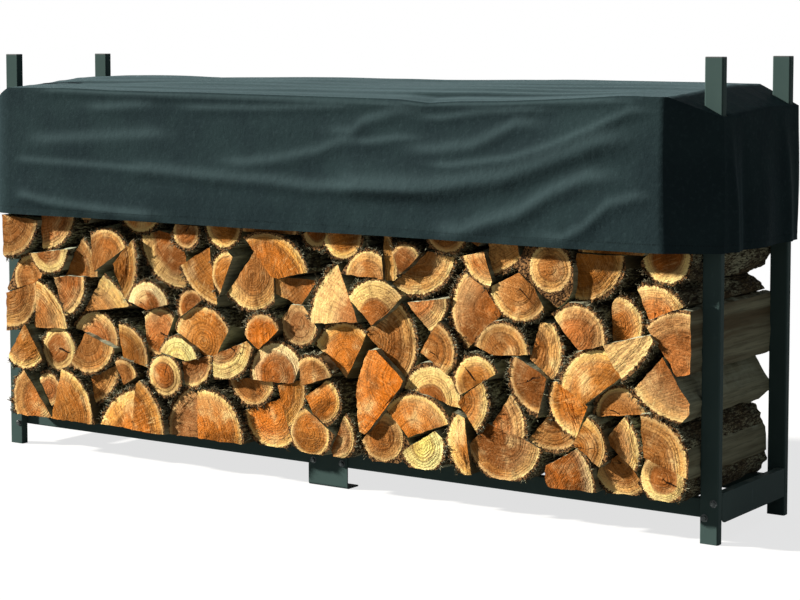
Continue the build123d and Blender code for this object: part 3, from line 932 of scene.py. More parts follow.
MARKED_ENDS = (
    MarkedEnd(0.39, 0.14, Tone.PALE),
    MarkedEnd(-0.47, 0.37, Tone.PALE),
    MarkedEnd(-0.586, 0.53, Tone.WHITE_RIM, 0.55),
    MarkedEnd(-0.12, 0.36, Tone.WHITE_RIM, 0.62),
    MarkedEnd(0.22, 0.56, Tone.CREAM, 0.5),
    MarkedEnd(0.405, 0.34, Tone.CREAM, 0.45),
    MarkedEnd(-0.8, 0.41, Tone.PINK, 0.6, 0.8),
    MarkedEnd(-0.526, 0.292, Tone.CREAM, 0.55, 0.5),
    MarkedEnd(-0.957, 0.326, Tone.CREAM, 0.6, 1.0),
    MarkedEnd(-0.98, 0.59, Tone.CREAM, 0.6, 0.4),
    MarkedEnd(-0.54, 0.62, Tone.CREAM, 0.68),
    MarkedEnd(-0.91, 0.7, Tone.PINK, 0.75),
    MarkedEnd(0.23, 0.3, Tone.DEEP),
    MarkedEnd(0.35, 0.26, Tone.ORANGE, 0.8),
    MarkedEnd(-0.33, 0.18, Tone.ORANGE, 0.8),
    MarkedEnd(0.63, 0.18, Tone.BROWN, 0.68),
    MarkedEnd(0.52, 0.56, Tone.BROWN, 0.85),
    MarkedEnd(0.55, 0.12, Tone.TAN, 0.3),
    MarkedEnd(-0.46, 0.18, Tone.GREY),
    MarkedEnd(-0.04, 0.46, Tone.GREY, 0.5),
    MarkedEnd(-0.165, 0.45, Tone.DEEP),
    MarkedEnd(0.33, 0.69, Tone.BROWN),
    MarkedEnd(1.11, 0.52, Tone.PINK),
    MarkedEnd(1.0, 0.47, Tone.PINK),
    MarkedEnd(-0.89, 0.5, Tone.PINK, 0.75, 0.7),
    MarkedEnd(0.78, 0.66, Tone.TAN, 0.5),
    MarkedEnd(0.86, 0.15, Tone.WHITE_RIM, 0.8),
    MarkedEnd(1.09, 0.4, Tone.PINK, 0.8),
    MarkedEnd(1.12, 0.15, Tone.CREAM, 0.55, 0.9),
    MarkedEnd(0.56, 0.42, Tone.HONEY, 0.6, 0.9),
    MarkedEnd(0.96, 0.35, Tone.TAN, 0.75, 0.6),
    MarkedEnd(-0.15, 0.66, Tone.TAN, 0.6, 0.5),
    MarkedEnd(-0.4, 0.44, Tone.HONEY, 0.9, 0.8),
    MarkedEnd(-0.56, 0.43, Tone.PINK, 0.8, 1.0),
    MarkedEnd(0.09, 0.42, Tone.ORANGE, 0.7, 0.6),
    MarkedEnd(0.78, 0.23, Tone.TAN, 0.55, 0.3),
)

EVERYDAY_TONES = (
    Tone.TAN, Tone.HONEY, Tone.ORANGE, Tone.TAN, Tone.BROWN, Tone.HONEY, Tone.CREAM, Tone.TAN, Tone.PINK,
)


@dataclass(frozen=True)
class Relief:
    """One push that shapes logs: the corners it acts on, its reach in metres and its noise."""

    name: str
    group: str
    strength: float
    texture: str | None = None
    middle: float = 0.0
    axis: str = "NORMAL"
    stretch: bool = False


SWELL = Relief("swell", "flanks", 0.0025)
RELIEFS = (
    Relief("bulge", "inside", 0.016),
    Relief("lumps", "bark", 0.010, "lump", 0.62, stretch=True),
    Relief("furrows", "bark", 0.0075, "bark", 0.85, stretch=True),
    Relief("fibres", "splits", 0.010, "split", 0.66, stretch=True),
    Relief("sawn", "ends", 0.007, "end", 0.5, "Y"),
    Relief("warp", "", 0.007, "warp", 0.5, "RGB_TO_XYZ"),
)
GRAINS = {
    "warp": ("log_warp", "CLOUDS", 0.13),
    "bark": ("bark_furrows", "MUSGRAVE", 0.021),
    "lump": ("bark_lumps", "CLOUDS", 0.05),
    "split": ("split_fibres", "CLOUDS", 0.022),
    "end": ("sawn_end", "CLOUDS", 0.03),
}


@dataclass
class LogStack:
    """The split logs, course by course: each packed course becomes one dressed piece."""

    courses: tuple[str, ...] = ("bottom", "lower", "middle", "upper", "top")
    bays: int = 4
    hidden: tuple[str, ...] = ("top",)
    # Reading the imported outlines: what counts as one corner, one flat face and one round.
    merge: float = 0.00002
    flat_angle: float = math.radians(0.7)
    on_round: float = 0.0004
    least_on_round: int = 4
    widest_round: float = 0.3
    straight: float = 1e-9
    loose_round: float = 1.15
    chord_turn: float = math.radians(27)
    # Choosing each log's tone: reach of a marked place, spread of the heart, deepest crack.
    mark_reach: float = 0.045
    heart_spread: float = 0.16
    most_crack: float = 0.75
    # Cutting and shading: least run along the grain, stretch of the noise, sharpest smooth edge.
    lengthwise: float = 0.01
    draw_out: Triple = (1.0, 5.0, 1.0)
    sharp: float = math.radians(48)
    # Where logs thicken inside the stack, and where the hidden logs are pressed down.
    ends: tuple[float, float] = (-0.24, 0.24)
    inside_x: float = 1.1
    inside_z: tuple[float, float] = (0.15, 0.72)
    bed_from: float = 1.0
    bed_share: float = 0.72
    seed: int = 7
    rims: list[tuple[Vector, Vector]] = field(default_factory=list)

    def build(self, finishes: dict[Surface, bpy.types.Material]) -> None:
        """Dress every course.

        Args:
            finishes: Materials for sawn ends, bark and split faces.
        """
        self.dice = random.Random(self.seed)
        self.stretch = self._stretcher()
        self.grain = {key: self._texture(*recipe) for key, recipe in GRAINS.items()}
        for course in self.courses:
            detail = Detail.HIDDEN if course in self.hidden else Detail.SHOWN
            for bay in range(1, self.bays + 1):
                self._dress(f"logs_{course}_bay_{bay}", finishes, detail)
        bpy.data.objects.remove(self.stretch)

    def _stretcher(self) -> bpy.types.Object:
        """Make the empty that draws noise out along the grain.

        Returns:
            The empty.
        """
        deselect()
        bpy.ops.object.empty_add(type="PLAIN_AXES")
        empty = bpy.context.active_object
        empty.scale = self.draw_out
        bpy.context.view_layer.update()
        return empty

    @staticmethod
    def _texture(name: str, kind: str, size: float) -> bpy.types.Texture:
        """Make a noise for shaping.

        Args:
            name: Its name.
            kind: Texture type.
            size: Size of its lumps in metres.

        Returns:
            The texture.
        """
        texture = bpy.data.textures.new(name, kind)
        texture.noise_scale = size
        if kind == "MUSGRAVE":
            texture.musgrave_type = "RIDGED_MULTIFRACTAL"
            texture.octaves = 3.0
        elif kind == "CLOUDS":
            texture.noise_depth = 3
        return texture

    def _dress(self, node: str, finishes: dict[Surface, bpy.types.Material], detail: Detail) -> None:
        """Copy one packed course, cut it up, shape its surfaces and finish it.

        Args:
            node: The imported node's name.
            finishes: Materials by surface.
            detail: How finely it is cut.
        """
        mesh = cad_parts[node].data.copy()
        mesh.materials.clear()
        for surface in Surface:
            mesh.materials.append(finishes[surface])
        piece = add_piece(f"dressed_{node}", mesh)
        edit(piece)
        bpy.ops.mesh.select_all(action="SELECT")
        bpy.ops.mesh.remove_doubles(threshold=self.merge)
        bpy.ops.mesh.dissolve_limited(angle_limit=self.flat_angle)
        self._read_logs(piece)
        self._cut(piece, detail)
        take(piece)
        bpy.ops.mesh.customdata_custom_splitnormals_clear()
        self._roughen(piece, detail)
        take(piece)
        bpy.ops.object.shade_smooth_by_angle(angle=self.sharp)
        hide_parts(node)
        settle_piece(piece)

    def _read_logs(self, piece: bpy.types.Object) -> None:
        """Find each log's pith and bark, and keep them and its tone on the mesh.

        Args:
            piece: The piece in edit mode, one flat face to each surface.
        """
        net = bmesh.from_edit_mesh(piece.data)
        pith = net.verts.layers.float_vector.new("pith")
        quirk = net.verts.layers.float_vector.new("quirk")
        heart = net.verts.layers.float_color.new("heart")
        sap = net.verts.layers.float_color.new("sap")
        for face in net.faces:
            face.material_index = Surface.END if abs(face.normal.y) > FACING else Surface.SPLIT
            face.smooth = True
        for front in [face for face in net.faces if face.normal.y < -FACING]:
            centre, radius = self._bark_round([vert.co for vert in front.verts])
            tone, heart_share, crack = self._tone(front.calc_center_median())
            values = (self.dice.random(), heart_share, crack)
            for vert in self._island(front):
                vert[pith] = (centre[0], centre[1], radius)
                vert[quirk] = values
                vert[heart], vert[sap], _ = tone.value
            chords = [edge for edge in front.edges if self._is_chord(edge, centre, radius)]
            for face in [face for edge in chords for face in edge.link_faces if face is not front]:
                face.material_index = Surface.BARK
        bmesh.update_edit_mesh(piece.data)

    @staticmethod
    def _island(face: bmesh.types.BMFace) -> list[bmesh.types.BMVert]:
        """Collect the corners of the log that a face belongs to.

        Args:
            face: One of its faces.

        Returns:
            All its corners.
        """
        seen = set(face.verts)
        waiting = list(face.verts)
        while waiting:
            for edge in waiting.pop().link_edges:
                fresh = [vert for vert in edge.verts if vert not in seen]
                seen.update(fresh)
                waiting += fresh
        return list(seen)

    def _bark_round(self, outline: list[Vector]) -> tuple[tuple[float, float], float]:
        """Find the round that most of an outline's corners lie on.

        Args:
            outline: The log's front outline.

        Returns:
            The pith and the radius.
        """
        best, centre, radius = 0, None, 0.0
        points = [(corner.x, corner.z) for corner in outline]
        for place, (x2, z2) in enumerate(points):
            x1, z1 = points[place - 1]
            x3, z3 = points[(place + 1) % len(points)]
            ax, az, bx, bz = x2 - x1, z2 - z1, x3 - x1, z3 - z1
            turn = 2 * (ax * bz - az * bx)
            if abs(turn) < self.straight:
                continue
            a2, b2 = ax * ax + az * az, bx * bx + bz * bz
            cx, cz = x1 + (bz * a2 - az * b2) / turn, z1 + (ax * b2 - bx * a2) / turn
            size = math.hypot(x1 - cx, z1 - cz)
            if size > self.widest_round:
                continue
            hits = sum(abs(math.hypot(x - cx, z - cz) - size) < self.on_round for x, z in points)
            if hits > best:
                best, centre, radius = hits, (cx, cz), size
        middle = (sum(x for x, z in points) / len(points), sum(z for x, z in points) / len(points))
        if best < self.least_on_round or math.dist(middle, centre) > radius:
            pith = min(points, key=lambda point: self._opening(points, point))
            return pith, self.loose_round * max(math.dist(pith, point) for point in points)
        return centre, radius

    @staticmethod
    def _opening(points: list[tuple[float, float]], corner: tuple[float, float]) -> float:
        """Angle between an outline's two edges at one corner.

        Args:
            points: The outline's corners in order.
            corner: One of them.

        Returns:
            The angle in radians.
        """
        place = points.index(corner)
        before = Vector(points[place - 1]) - Vector(corner)
        after = Vector(points[(place + 1) % len(points)]) - Vector(corner)
        return before.angle(after)

    def _is_chord(self, edge: bmesh.types.BMEdge, centre: tuple[float, float], radius: float) -> bool:
        """Tell whether an outline edge is a short chord of the bark's round.

        Args:
            edge: The edge.
            centre: The pith.
            radius: The bark's radius.

        Returns:
            True on bark.
        """
        ends = [(vert.co.x - centre[0], vert.co.z - centre[1]) for vert in edge.verts]
        if any(abs(math.hypot(*end) - radius) > self.on_round for end in ends):
            return False
        return edge.calc_length() < 2 * radius * math.sin(self.chord_turn / 2)

    def _tone(self, middle: Vector) -> tuple[Tone, float, float]:
        """Choose a log's tone, heart share and cracking.

        Args:
            middle: Middle of its front end.

        Returns:
            The tone, the heart's share of the radius and how far it is cracked.
        """
        spread = self.heart_spread * (self.dice.random() - 0.5)
        tone = EVERYDAY_TONES[self.dice.randrange(len(EVERYDAY_TONES))]
        marks = [(math.hypot(mark.across - middle.x, mark.up - middle.z), mark) for mark in MARKED_ENDS]
        gap, mark = min(marks, key=lambda pair: pair[0])
        if gap < self.mark_reach:
            return mark.tone, mark.heart or mark.tone.value[2], mark.crack
        return tone, tone.value[2] + spread, self.most_crack * self.dice.random() ** 2

    def _is_lengthwise(self, edge: bmesh.types.BMEdge) -> bool:
        """Tell whether an edge runs along the grain."""
        return abs(edge.verts[0].co.y - edge.verts[1].co.y) > self.lengthwise

    def _cuts(self, edge: bmesh.types.BMEdge, bark_step: float, split_step: float) -> int:
        """Count the cuts that an edge needs round the outline.

        Args:
            edge: The edge.
            bark_step: Longest run on bark.
            split_step: Longest run on split faces.

        Returns:
            The cuts; none for an edge along the grain.
        """
        if self._is_lengthwise(edge):
            return 0
        on_bark = any(face.material_index == Surface.BARK for face in edge.link_faces)
        return max(0, math.ceil(edge.calc_length() / (bark_step if on_bark else split_step)) - 1)

    def _cut(self, piece: bpy.types.Object, detail: Detail) -> None:
        """Cut the outlines, the lengths and the ends finely enough to be shaped.

        Args:
            piece: The piece in edit mode.
            detail: How finely.
        """
        bark_step, split_step, along, rings = detail.value
        net = bmesh.from_edit_mesh(piece.data)
        mark = net.edges.layers.int.new("cuts")
        for edge in net.edges:
            edge[mark] = self._cuts(edge, bark_step, split_step)
        wanted = sorted({edge[mark] for edge in net.edges} - {0})
        bmesh.update_edit_mesh(piece.data)
        for number in wanted:
            self._cut_marked(piece, number)
        pick(piece, Pick.EDGES, self._is_lengthwise)
        bpy.ops.mesh.subdivide(number_cuts=along)
        bpy.ops.mesh.select_mode(type="FACE")
        pick(piece, Pick.FACES, lambda face: face.material_index == Surface.END)
        bpy.ops.mesh.poke()
        bpy.ops.mesh.select_mode(type="EDGE")
        end = {Surface.END}
        pick(piece, Pick.EDGES, lambda edge: {face.material_index for face in edge.link_faces} == end)
        bpy.ops.mesh.subdivide(number_cuts=rings)

    @staticmethod
    def _cut_marked(piece: bpy.types.Object, number: int) -> None:
        """Cut the edges that are marked for one number of cuts, and clear their mark.

        Args:
            piece: The piece in edit mode.
            number: The number of cuts.
        """
        net = bmesh.from_edit_mesh(piece.data)
        mark = net.edges.layers.int["cuts"]
        pick(piece, Pick.EDGES, lambda edge: edge[mark] == number)
        bpy.ops.mesh.subdivide(number_cuts=number)
        net = bmesh.from_edit_mesh(piece.data)
        mark = net.edges.layers.int["cuts"]
        for edge in net.edges:
            if edge[mark] == number:
                edge[mark] = 0
        bmesh.update_edit_mesh(piece.data)

    def _roughen(self, piece: bpy.types.Object, detail: Detail) -> None:
        """Shape the surfaces: close sides, furrowed bark, torn splits, uneven ends.

        Args:
            piece: The piece.
            detail: How finely it was cut.
        """
        sides: dict[int, set[int]] = {surface: set() for surface in Surface}
        for face in piece.data.polygons:
            sides[face.material_index].update(face.vertices)
        names = {Surface.END: "ends", Surface.BARK: "bark", Surface.SPLIT: "splits"}
        for surface, verts in sides.items():
            piece.vertex_groups.new(name=names[surface]).add(list(verts), 1.0, "REPLACE")
        flanks = sides[Surface.BARK] | sides[Surface.SPLIT]
        piece.vertex_groups.new(name="flanks").add(list(flanks), 1.0, "REPLACE")
        self._push(piece, SWELL)
        if detail is Detail.SHOWN:
            self._mark_inside(piece, flanks)
            for relief in RELIEFS:
                self._push(piece, relief)
        apply_modifiers(piece)
        if detail is Detail.SHOWN:
            self._keep_rims(piece, sides[Surface.END] & sides[Surface.BARK])
            return
        for vert in piece.data.vertices:
            if vert.co.z > self.bed_from:
                vert.co.z = self.bed_from + (vert.co.z - self.bed_from) * self.bed_share

    def _mark_inside(self, piece: bpy.types.Object, flanks: set[int]) -> None:
        """Weigh the flanks by how deep in the stack they are; the logs thicken there and close gaps.

        Args:
            piece: The piece.
            flanks: Corners on bark and split faces.
        """
        group = piece.vertex_groups.new(name="inside")
        front, back = self.ends
        for number in flanks:
            place = piece.data.vertices[number].co
            if abs(place.x) < self.inside_x and self.inside_z[0] < place.z < self.inside_z[1]:
                share = min(1.0, max(0.0, (place.y - front) / (back - front)))
                group.add([number], math.sin(math.pi * share), "REPLACE")

    def _keep_rims(self, piece: bpy.types.Object, rim: set[int]) -> None:
        """Note the places on the front rims of the bark, for shreds to grow from.

        Args:
            piece: The shaped piece.
            rim: Corners that sawn ends and bark share.
        """
        piths = piece.data.attributes["pith"].data
        for number in sorted(rim):
            place = piece.data.vertices[number].co
            pith = piths[number].vector
            if place.y < 0.0:
                outward = Vector((place.x - pith[0], 0.0, place.z - pith[1])).normalized()
                self.rims.append((place.copy(), outward))

    def _push(self, piece: bpy.types.Object, relief: Relief) -> None:
        """Add one shaping modifier.

        Args:
            piece: The piece.
            relief: What it does.
        """
        push = piece.modifiers.new(relief.name, "DISPLACE")
        push.vertex_group = relief.group
        push.strength = relief.strength
        push.mid_level = relief.middle
        push.direction = relief.axis
        if relief.texture is None:
            return
        push.texture = self.grain[relief.texture]
        push.texture_coords = "OBJECT" if relief.stretch else "LOCAL"
        if relief.stretch:
            push.texture_coords_object = self.stretch


@dataclass
class Shreds:
    """Torn bark and splinters round the sawn ends' rims."""

    tufts: tuple[int, int] = (0, 4)
    length: tuple[float, float] = (0.003, 0.013)
    spread: float = 0.004
    width: tuple[float, float] = (0.0009, 0.0024)
    stations: tuple[float, ...] = (0.0, 0.55, 1.0)
    corners: tuple[float, ...] = (0.0, 2.1, 4.2)
    sideways: float = 0.9
    ahead: tuple[float, float] = (-0.5, 0.6)
    bedded: float = 0.002
    flatness: float = 0.6
    taper: float = 0.8
    seed: int = 23
    wood: Colour = tint(206, 168, 112)

    def build(self, rims: list[tuple[Vector, Vector]], finishes: dict[Surface, bpy.types.Material]) -> None:
        """Grow shreds from the rims.

        Args:
            rims: Places on the rims and their directions out of the log.
            finishes: Materials for sawn ends, bark and split faces.
        """
        dice = random.Random(self.seed)
        points, faces, surfaces = [], [], []
        for place, outward in rims:
            for _ in range(dice.randint(*self.tufts)):
                self._grow(place, outward, dice, points, faces)
                surfaces += [dice.choice((0, 1, 1))] * (len(self.corners) * (len(self.stations) - 1) + 1)
        mesh = bpy.data.meshes.new("bark_shreds")
        mesh.from_pydata(points, [], faces)
        for surface in (Surface.BARK, Surface.SPLIT):
            mesh.materials.append(finishes[surface])
        mesh.polygons.foreach_set("material_index", surfaces)
        colours = mesh.attributes.new("sap", "FLOAT_COLOR", "POINT")
        colours.data.foreach_set("color", np.tile(self.wood, len(points)))
        piece = add_piece("bark_shreds", mesh)
        take(piece)
        bpy.ops.object.shade_smooth()
        settle_piece(piece)

    def _grow(self, place: Vector, outward: Vector, dice: random.Random, points: list, faces: list) -> None:
        """Add one curling three-sided shred.

        Args:
            place: Its root.
            outward: Direction out of the log.
            dice: Chance.
            points: All points so far.
            faces: All faces so far.
        """
        length, width = dice.uniform(*self.length), dice.uniform(*self.width)
        root = place + Vector([dice.uniform(-self.spread, self.spread) for _ in range(3)])
        beside = Vector((-outward.z, 0.0, outward.x)) * dice.uniform(-self.sideways, self.sideways)
        ahead = Vector((0.0, -1.0, 0.0)) * dice.uniform(*self.ahead)
        first, sides = len(points), len(self.corners)
        for share in self.stations:
            curl = (beside + ahead) * (length * share * share)
            spot = root + outward * (length * share - self.bedded) + curl
            for turn in self.corners:
                side = Vector((math.cos(turn), self.flatness * math.sin(turn), math.sin(turn)))
                points.append(spot + side * (width * (1.0 - self.taper * share)))
        for station in range(len(self.stations) - 1):
            low = first + sides * station
            for side in range(sides):
                after = (side + 1) % sides
                faces.append((low + side, low + after, low + sides + after, low + sides + side))
        faces.append(tuple(range(len(points) - sides, len(points))))


@dataclass(frozen=True)
class Fold:
    """One fold of the cover's front: places of its crest, reach above and below it, and height."""

    crest: tuple[tuple[float, float], ...]
    above: float
    below: float
    height: float


FRONT_FOLDS = (
    Fold(((0.2, 0.862), (0.43, 0.868), (0.56, 0.893), (0.65, 0.907), (0.76, 0.945), (0.87, 0.985),
          (0.94, 1.01)), 0.075, 0.030, 0.0125),
    Fold(((0.5, 0.93), (0.68, 0.955), (0.8, 0.992), (0.92, 1.04), (1.02, 1.085)), 0.03, 0.016, 0.005),
    Fold(((-0.54, 0.884), (-0.34, 0.874), (-0.1, 0.868), (0.03, 0.856), (0.2, 0.862), (0.36, 0.862)),
         0.05, 0.018, 0.006),
    Fold(((0.43, 0.968), (0.56, 0.985), (0.62, 1.01), (0.69, 1.045)), 0.045, 0.020, 0.004),
    Fold(((0.17, 1.01), (0.21, 1.04), (0.32, 1.07)), 0.04, 0.020, 0.0035),
    Fold(((0.23, 0.985), (0.32, 0.998)), 0.03, 0.018, 0.003),
    Fold(((0.52, 0.755), (0.6, 0.785), (0.7, 0.815), (0.8, 0.875), (0.9, 0.915)), 0.055, 0.024, 0.0065),
    Fold(((0.83, 0.758), (0.89, 0.79), (0.96, 0.85), (1.04, 0.872)), 0.035, 0.022, 0.004),
    Fold(((-1.05, 0.79), (-0.96, 0.776), (-0.85, 0.766), (-0.7, 0.757), (-0.58, 0.752)),
         0.04, 0.015, 0.007),
    Fold(((-0.9, 1.109), (-0.5, 1.102), (-0.1, 1.098), (0.3, 1.09), (0.6, 1.093), (0.95, 1.108)),
         0.016, 0.014, 0.0035),
    Fold(((-1.1, 0.9), (-0.85, 0.893), (-0.6, 0.886)), 0.03, 0.018, 0.002),
    Fold(((-0.72, 1.062), (-0.6, 1.07)), 0.035, 0.018, 0.003),
    Fold(((0.46, 1.055), (0.58, 1.072), (0.72, 1.08)), 0.025, 0.014, 0.0035),
    Fold(((-0.36, 1.068), (-0.15, 1.07), (0.1, 1.078)), 0.025, 0.014, 0.003),
    Fold(((-0.2, 0.915), (-0.08, 0.93), (0.05, 0.955), (0.14, 0.985)), 0.04, 0.022, 0.003),
    Fold(((-0.95, 0.96), (-0.75, 0.972), (-0.55, 0.985)), 0.05, 0.034, 0.002),
)

# Places along the lid's front edge, and how far it sags there.
EDGE_SAG = ((-1.11, 0.003), (-0.9, 0.004), (-0.7, 0.009), (-0.365, 0.008), (0.0, 0.013), (0.318, 0.018),
            (0.413, 0.027), (0.5, 0.022), (0.629, 0.018), (0.806, 0.009), (0.977, 0.001), (1.11, 0.001))


@dataclass(frozen=True)
class LidCrease:
    """A crease along the cover's top: its place, width, height and how far it wanders."""

    place: float
    width: float
    height: float
    wander: float


LID_CREASES = (
    LidCrease(-0.235, 0.010, 0.005, 0.006),
    LidCrease(-0.185, 0.016, 0.009, 0.012),
    LidCrease(-0.12, 0.013, 0.009, 0.016),
    LidCrease(-0.05, 0.016, 0.010, 0.02),
    LidCrease(0.03, 0.014, 0.009, 0.02),
    LidCrease(0.12, 0.016, 0.009, 0.018),
    LidCrease(0.2, 0.013, 0.008, 0.012),
)


@dataclass(frozen=True)
class EndFold:
    """An upright fold of an end panel: its place from front to back, width and height."""

    place: float
    width: float
    height: float


END_FOLDS = (
    EndFold(-0.135, 0.018, 0.012),
    EndFold(-0.06, 0.022, -0.010),
    EndFold(0.05, 0.05, 0.008),
    EndFold(0.19, 0.025, 0.012),
)


@dataclass
class Layout:
    """The sheet while it is laid out: points, faces, places on the flat cloth, seam and crest shares."""

    points: list[Triple] = field(default_factory=list)
    faces: list[tuple[int, ...]] = field(default_factory=list)
    flat: list[tuple[float, float]] = field(default_factory=list)
    seam: list[float] = field(default_factory=list)
    crest: list[float] = field(default_factory=list)

    def add(self, point: Triple, flat: tuple[float, float], seam: float, crest: float) -> int:
        """Add one point of the sheet.

        Args:
            point: Its place.
            flat: Its place on the flat cloth.
            seam: How much of a seam it is.
            crest: How much of a crest it is.

        Returns:
            Its number.
        """
        self.points.append(point)
        self.flat.append(flat)
        self.seam.append(seam)
        self.crest.append(crest)
        return len(self.points) - 1


@dataclass
class Cover:
    """The fitted sheet over the stack: a lid with hipped ends and post slits, and a skirt."""

    # Plan of the lid.
    half: float = 1.228
    front: float = -0.2725
    back: float = 0.2725
    corner_run: float = 0.122
    corner_depth: float = 0.089
    left_round: float = 2.6
    # Heights and hips.
    top: float = 1.122
    hip_run: float = 0.112
    hip_drop: float = 0.056
    hem: float = 0.735
    back_lift: float = 0.024
    # Slits for the posts.
    post_x: float = 1.195
    post_y: tuple[float, float] = (-0.163, 0.242)
    slit_half: tuple[float, float] = (0.0275, 0.0150)
    # Spacing of the sheet's lines.
    cell: float = 0.0115
    drop_cell: float = 0.0069
    # Hang of the skirt and its hem.
    flare: float = 0.004
    belly: float = 0.003
    hem_band: float = 0.024
    stitch_share: float = 0.45
    hem_wander: float = 0.004
    # Creases and sag of the lid.
    crease_ease: float = 0.15
    sag_reach: float = 0.075
    lift_run: float = 0.4
    lid_swell: float = 0.008
    # Waves, puckers and folds of the skirt.
    skirt_wave: float = 0.004
    pucker: float = 0.0035
    pucker_rise: float = 0.07
    corner_wave: float = 0.006
    end_lean: float = 0.03
    fold_ease: float = 0.08
    fold_fade: float = 0.07
    fold_hollow: float = 0.3
    # The finished cloth.
    softness: float = 0.45
    sharp: float = math.radians(60)
    thickness: float = 0.0014

    def build(self, cloth: bpy.types.Material) -> None:
        """Args:
            cloth: The cover's material.
        """
        piece = add_piece("dressed_cover", self._mesh(self._sheet()))
        piece.data.materials.append(cloth)
        edit(piece)
        bpy.ops.mesh.select_all(action="SELECT")
        bpy.ops.mesh.normals_make_consistent(inside=False)
        take(piece)
        self._soften(piece)
        wall = piece.modifiers.new("cloth_thickness", "SOLIDIFY")
        wall.thickness = self.thickness
        wall.offset = -1.0
        apply_modifiers(piece)
        take(piece)
        bpy.ops.object.shade_smooth_by_angle(angle=self.sharp)
        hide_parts("cover")
        settle_piece(piece)

    @staticmethod
    def _mesh(layout: Layout) -> bpy.types.Mesh:
        """Turn the layout into a mesh with its flat map, seams and crests.

        Args:
            layout: The sheet.

        Returns:
            The mesh.
        """
        mesh = bpy.data.meshes.new("dressed_cover")
        mesh.from_pydata(layout.points, [], layout.faces)
        layer = mesh.uv_layers.new(name="cloth")
        corners = np.array([loop.vertex_index for loop in mesh.loops])
        layer.uv.foreach_set("vector", np.array(layout.flat)[corners].astype(np.float32).ravel())
        for name, values in (("seam", layout.seam), ("crest", layout.crest)):
            kept = mesh.attributes.new(name, "FLOAT", "POINT")
            kept.data.foreach_set("value", np.array(values, dtype=np.float32))
        return mesh

    def _columns(self) -> list[float]:
        """Places of the lid's lines along X, with lines at corners, hips and slits.

        Returns:
            The places in order.
        """
        fixed = [-self.half, self.half]
        for side in (-1, 1):
            fixed += [side * (self.half - self.corner_run), side * (self.half - self.hip_run)]
            fixed += [side * (self.post_x - self.slit_half[0]), side * (self.post_x + self.slit_half[0])]
        return self._filled(sorted(fixed))

    def _rows(self) -> list[float]:
        """Places of the lid's lines along Y, behind the front slits' front edge.

        Returns:
            The places in order.
        """
        fixed = [self.back]
        for place in self.post_y:
            fixed += [place - self.slit_half[1], place + self.slit_half[1]]
        return self._filled(sorted(fixed))

    def _filled(self, fixed: list[float]) -> list[float]:
        """Fill the runs between fixed lines with evenly spaced ones.

        Args:
            fixed: Lines that have to be there.

        Returns:
            All the lines.
        """
        lines = [fixed[0]]
        for start, end in zip(fixed, fixed[1:]):
            count = max(1, round((end - start) / self.cell))
            lines += [start + (end - start) * step / count for step in range(1, count + 1)]
        return lines

    def _front_at(self, x: float) -> float:
        """Front edge of the lid at one place along the store, slanted back at the corners."""
        past = max(0.0, abs(x) - (self.half - self.corner_run)) / self.corner_run
        return self.front + self.corner_depth * (past if x > 0 else past ** self.left_round)

    def _lid_height(self, x: float, y: float) -> tuple[float, float]:
        """Height of the lid, and how much of a crest it is.

        Args:
            x: Place along the store.
            y: Place from front to back.

        Returns:
            The height and the crest share, which sets the painted highlight.
        """
        hip = max(0.0, abs(x) - (self.half - self.hip_run)) * self.hip_drop / self.hip_run
        inner = smooth((self.half - self.hip_run - abs(x)) / self.crease_ease)
        behind = y - self._front_at(x)
        sag = float(np.interp(x, *zip(*EDGE_SAG))) * math.exp(-(behind / self.sag_reach) ** 2)
        lift = self.back_lift * smooth((y - self.front) / self.lift_run)
        crease, crest = 0.0, 0.0
        for line in LID_CREASES:
            drift = line.wander * (ripple(x * 1.6, line.place * 40, 3.0) * 1.6)
            fade = 0.55 + 0.45 * ripple(x * 2.3, line.place * 25, 9.0)
            ridge = math.exp(-((y - line.place - drift) / line.width) ** 2) * fade
            crease += line.height * ridge
            crest = max(crest, ridge)
        swell = self.lid_swell * ripple(x * 2.2, y * 5.0, 1.0)
        return self.top - hip - sag + lift + (crease + swell) * (0.25 + 0.75 * inner), crest * inner

    def _in_slit(self, x: float, y: float) -> bool:
        """Tell whether a place on the lid is inside a post's slit."""
        inside_x = abs(abs(x) - self.post_x) < self.slit_half[0]
        return inside_x and any(abs(y - place) < self.slit_half[1] for place in self.post_y)

    def _sheet(self) -> Layout:
        """Lay out the lid and the skirt as one sheet.

        Returns:
            The sheet.
        """
        layout = Layout()
        columns, rows = self._columns(), self._rows()
        front_count = max(3, round((rows[0] - self.front) / self.cell))
        grid = []
        for x in columns:
            edge = self._front_at(x)
            ys = [edge + (rows[0] - edge) * step / front_count for step in range(front_count)] + rows
            heights = [self._lid_height(x, y) for y in ys]
            grid.append([layout.add((x, y, z), (x, y), 0.0, ridge) for y, (z, ridge) in zip(ys, heights)])
        for left, right in zip(grid, grid[1:]):
            for near in range(len(left) - 1):
                quad = (left[near], right[near], right[near + 1], left[near + 1])
                middle = np.mean([layout.points[corner] for corner in quad], axis=0)
                if not self._in_slit(middle[0], middle[1]):
                    layout.faces.append(quad)
        rim = [line[0] for line in grid] + grid[-1][1:]
        rim += [line[-1] for line in reversed(grid[:-1])] + list(reversed(grid[0][1:-1]))
        self._skirt(rim, layout)
        return layout

    def _drops(self) -> list[float]:
        """Place the skirt's rows, with two at the hem's stitched band.

        Returns:
            Shares of the drop from rim to hem.
        """
        drop = self.top - self.hem
        count = max(6, round(drop / self.drop_cell))
        shares = [step / count for step in range(1, count + 1)]
        shares[-2] = 1 - self.hem_band * self.stitch_share / drop
        shares[-3] = 1 - self.hem_band / drop
        return shares

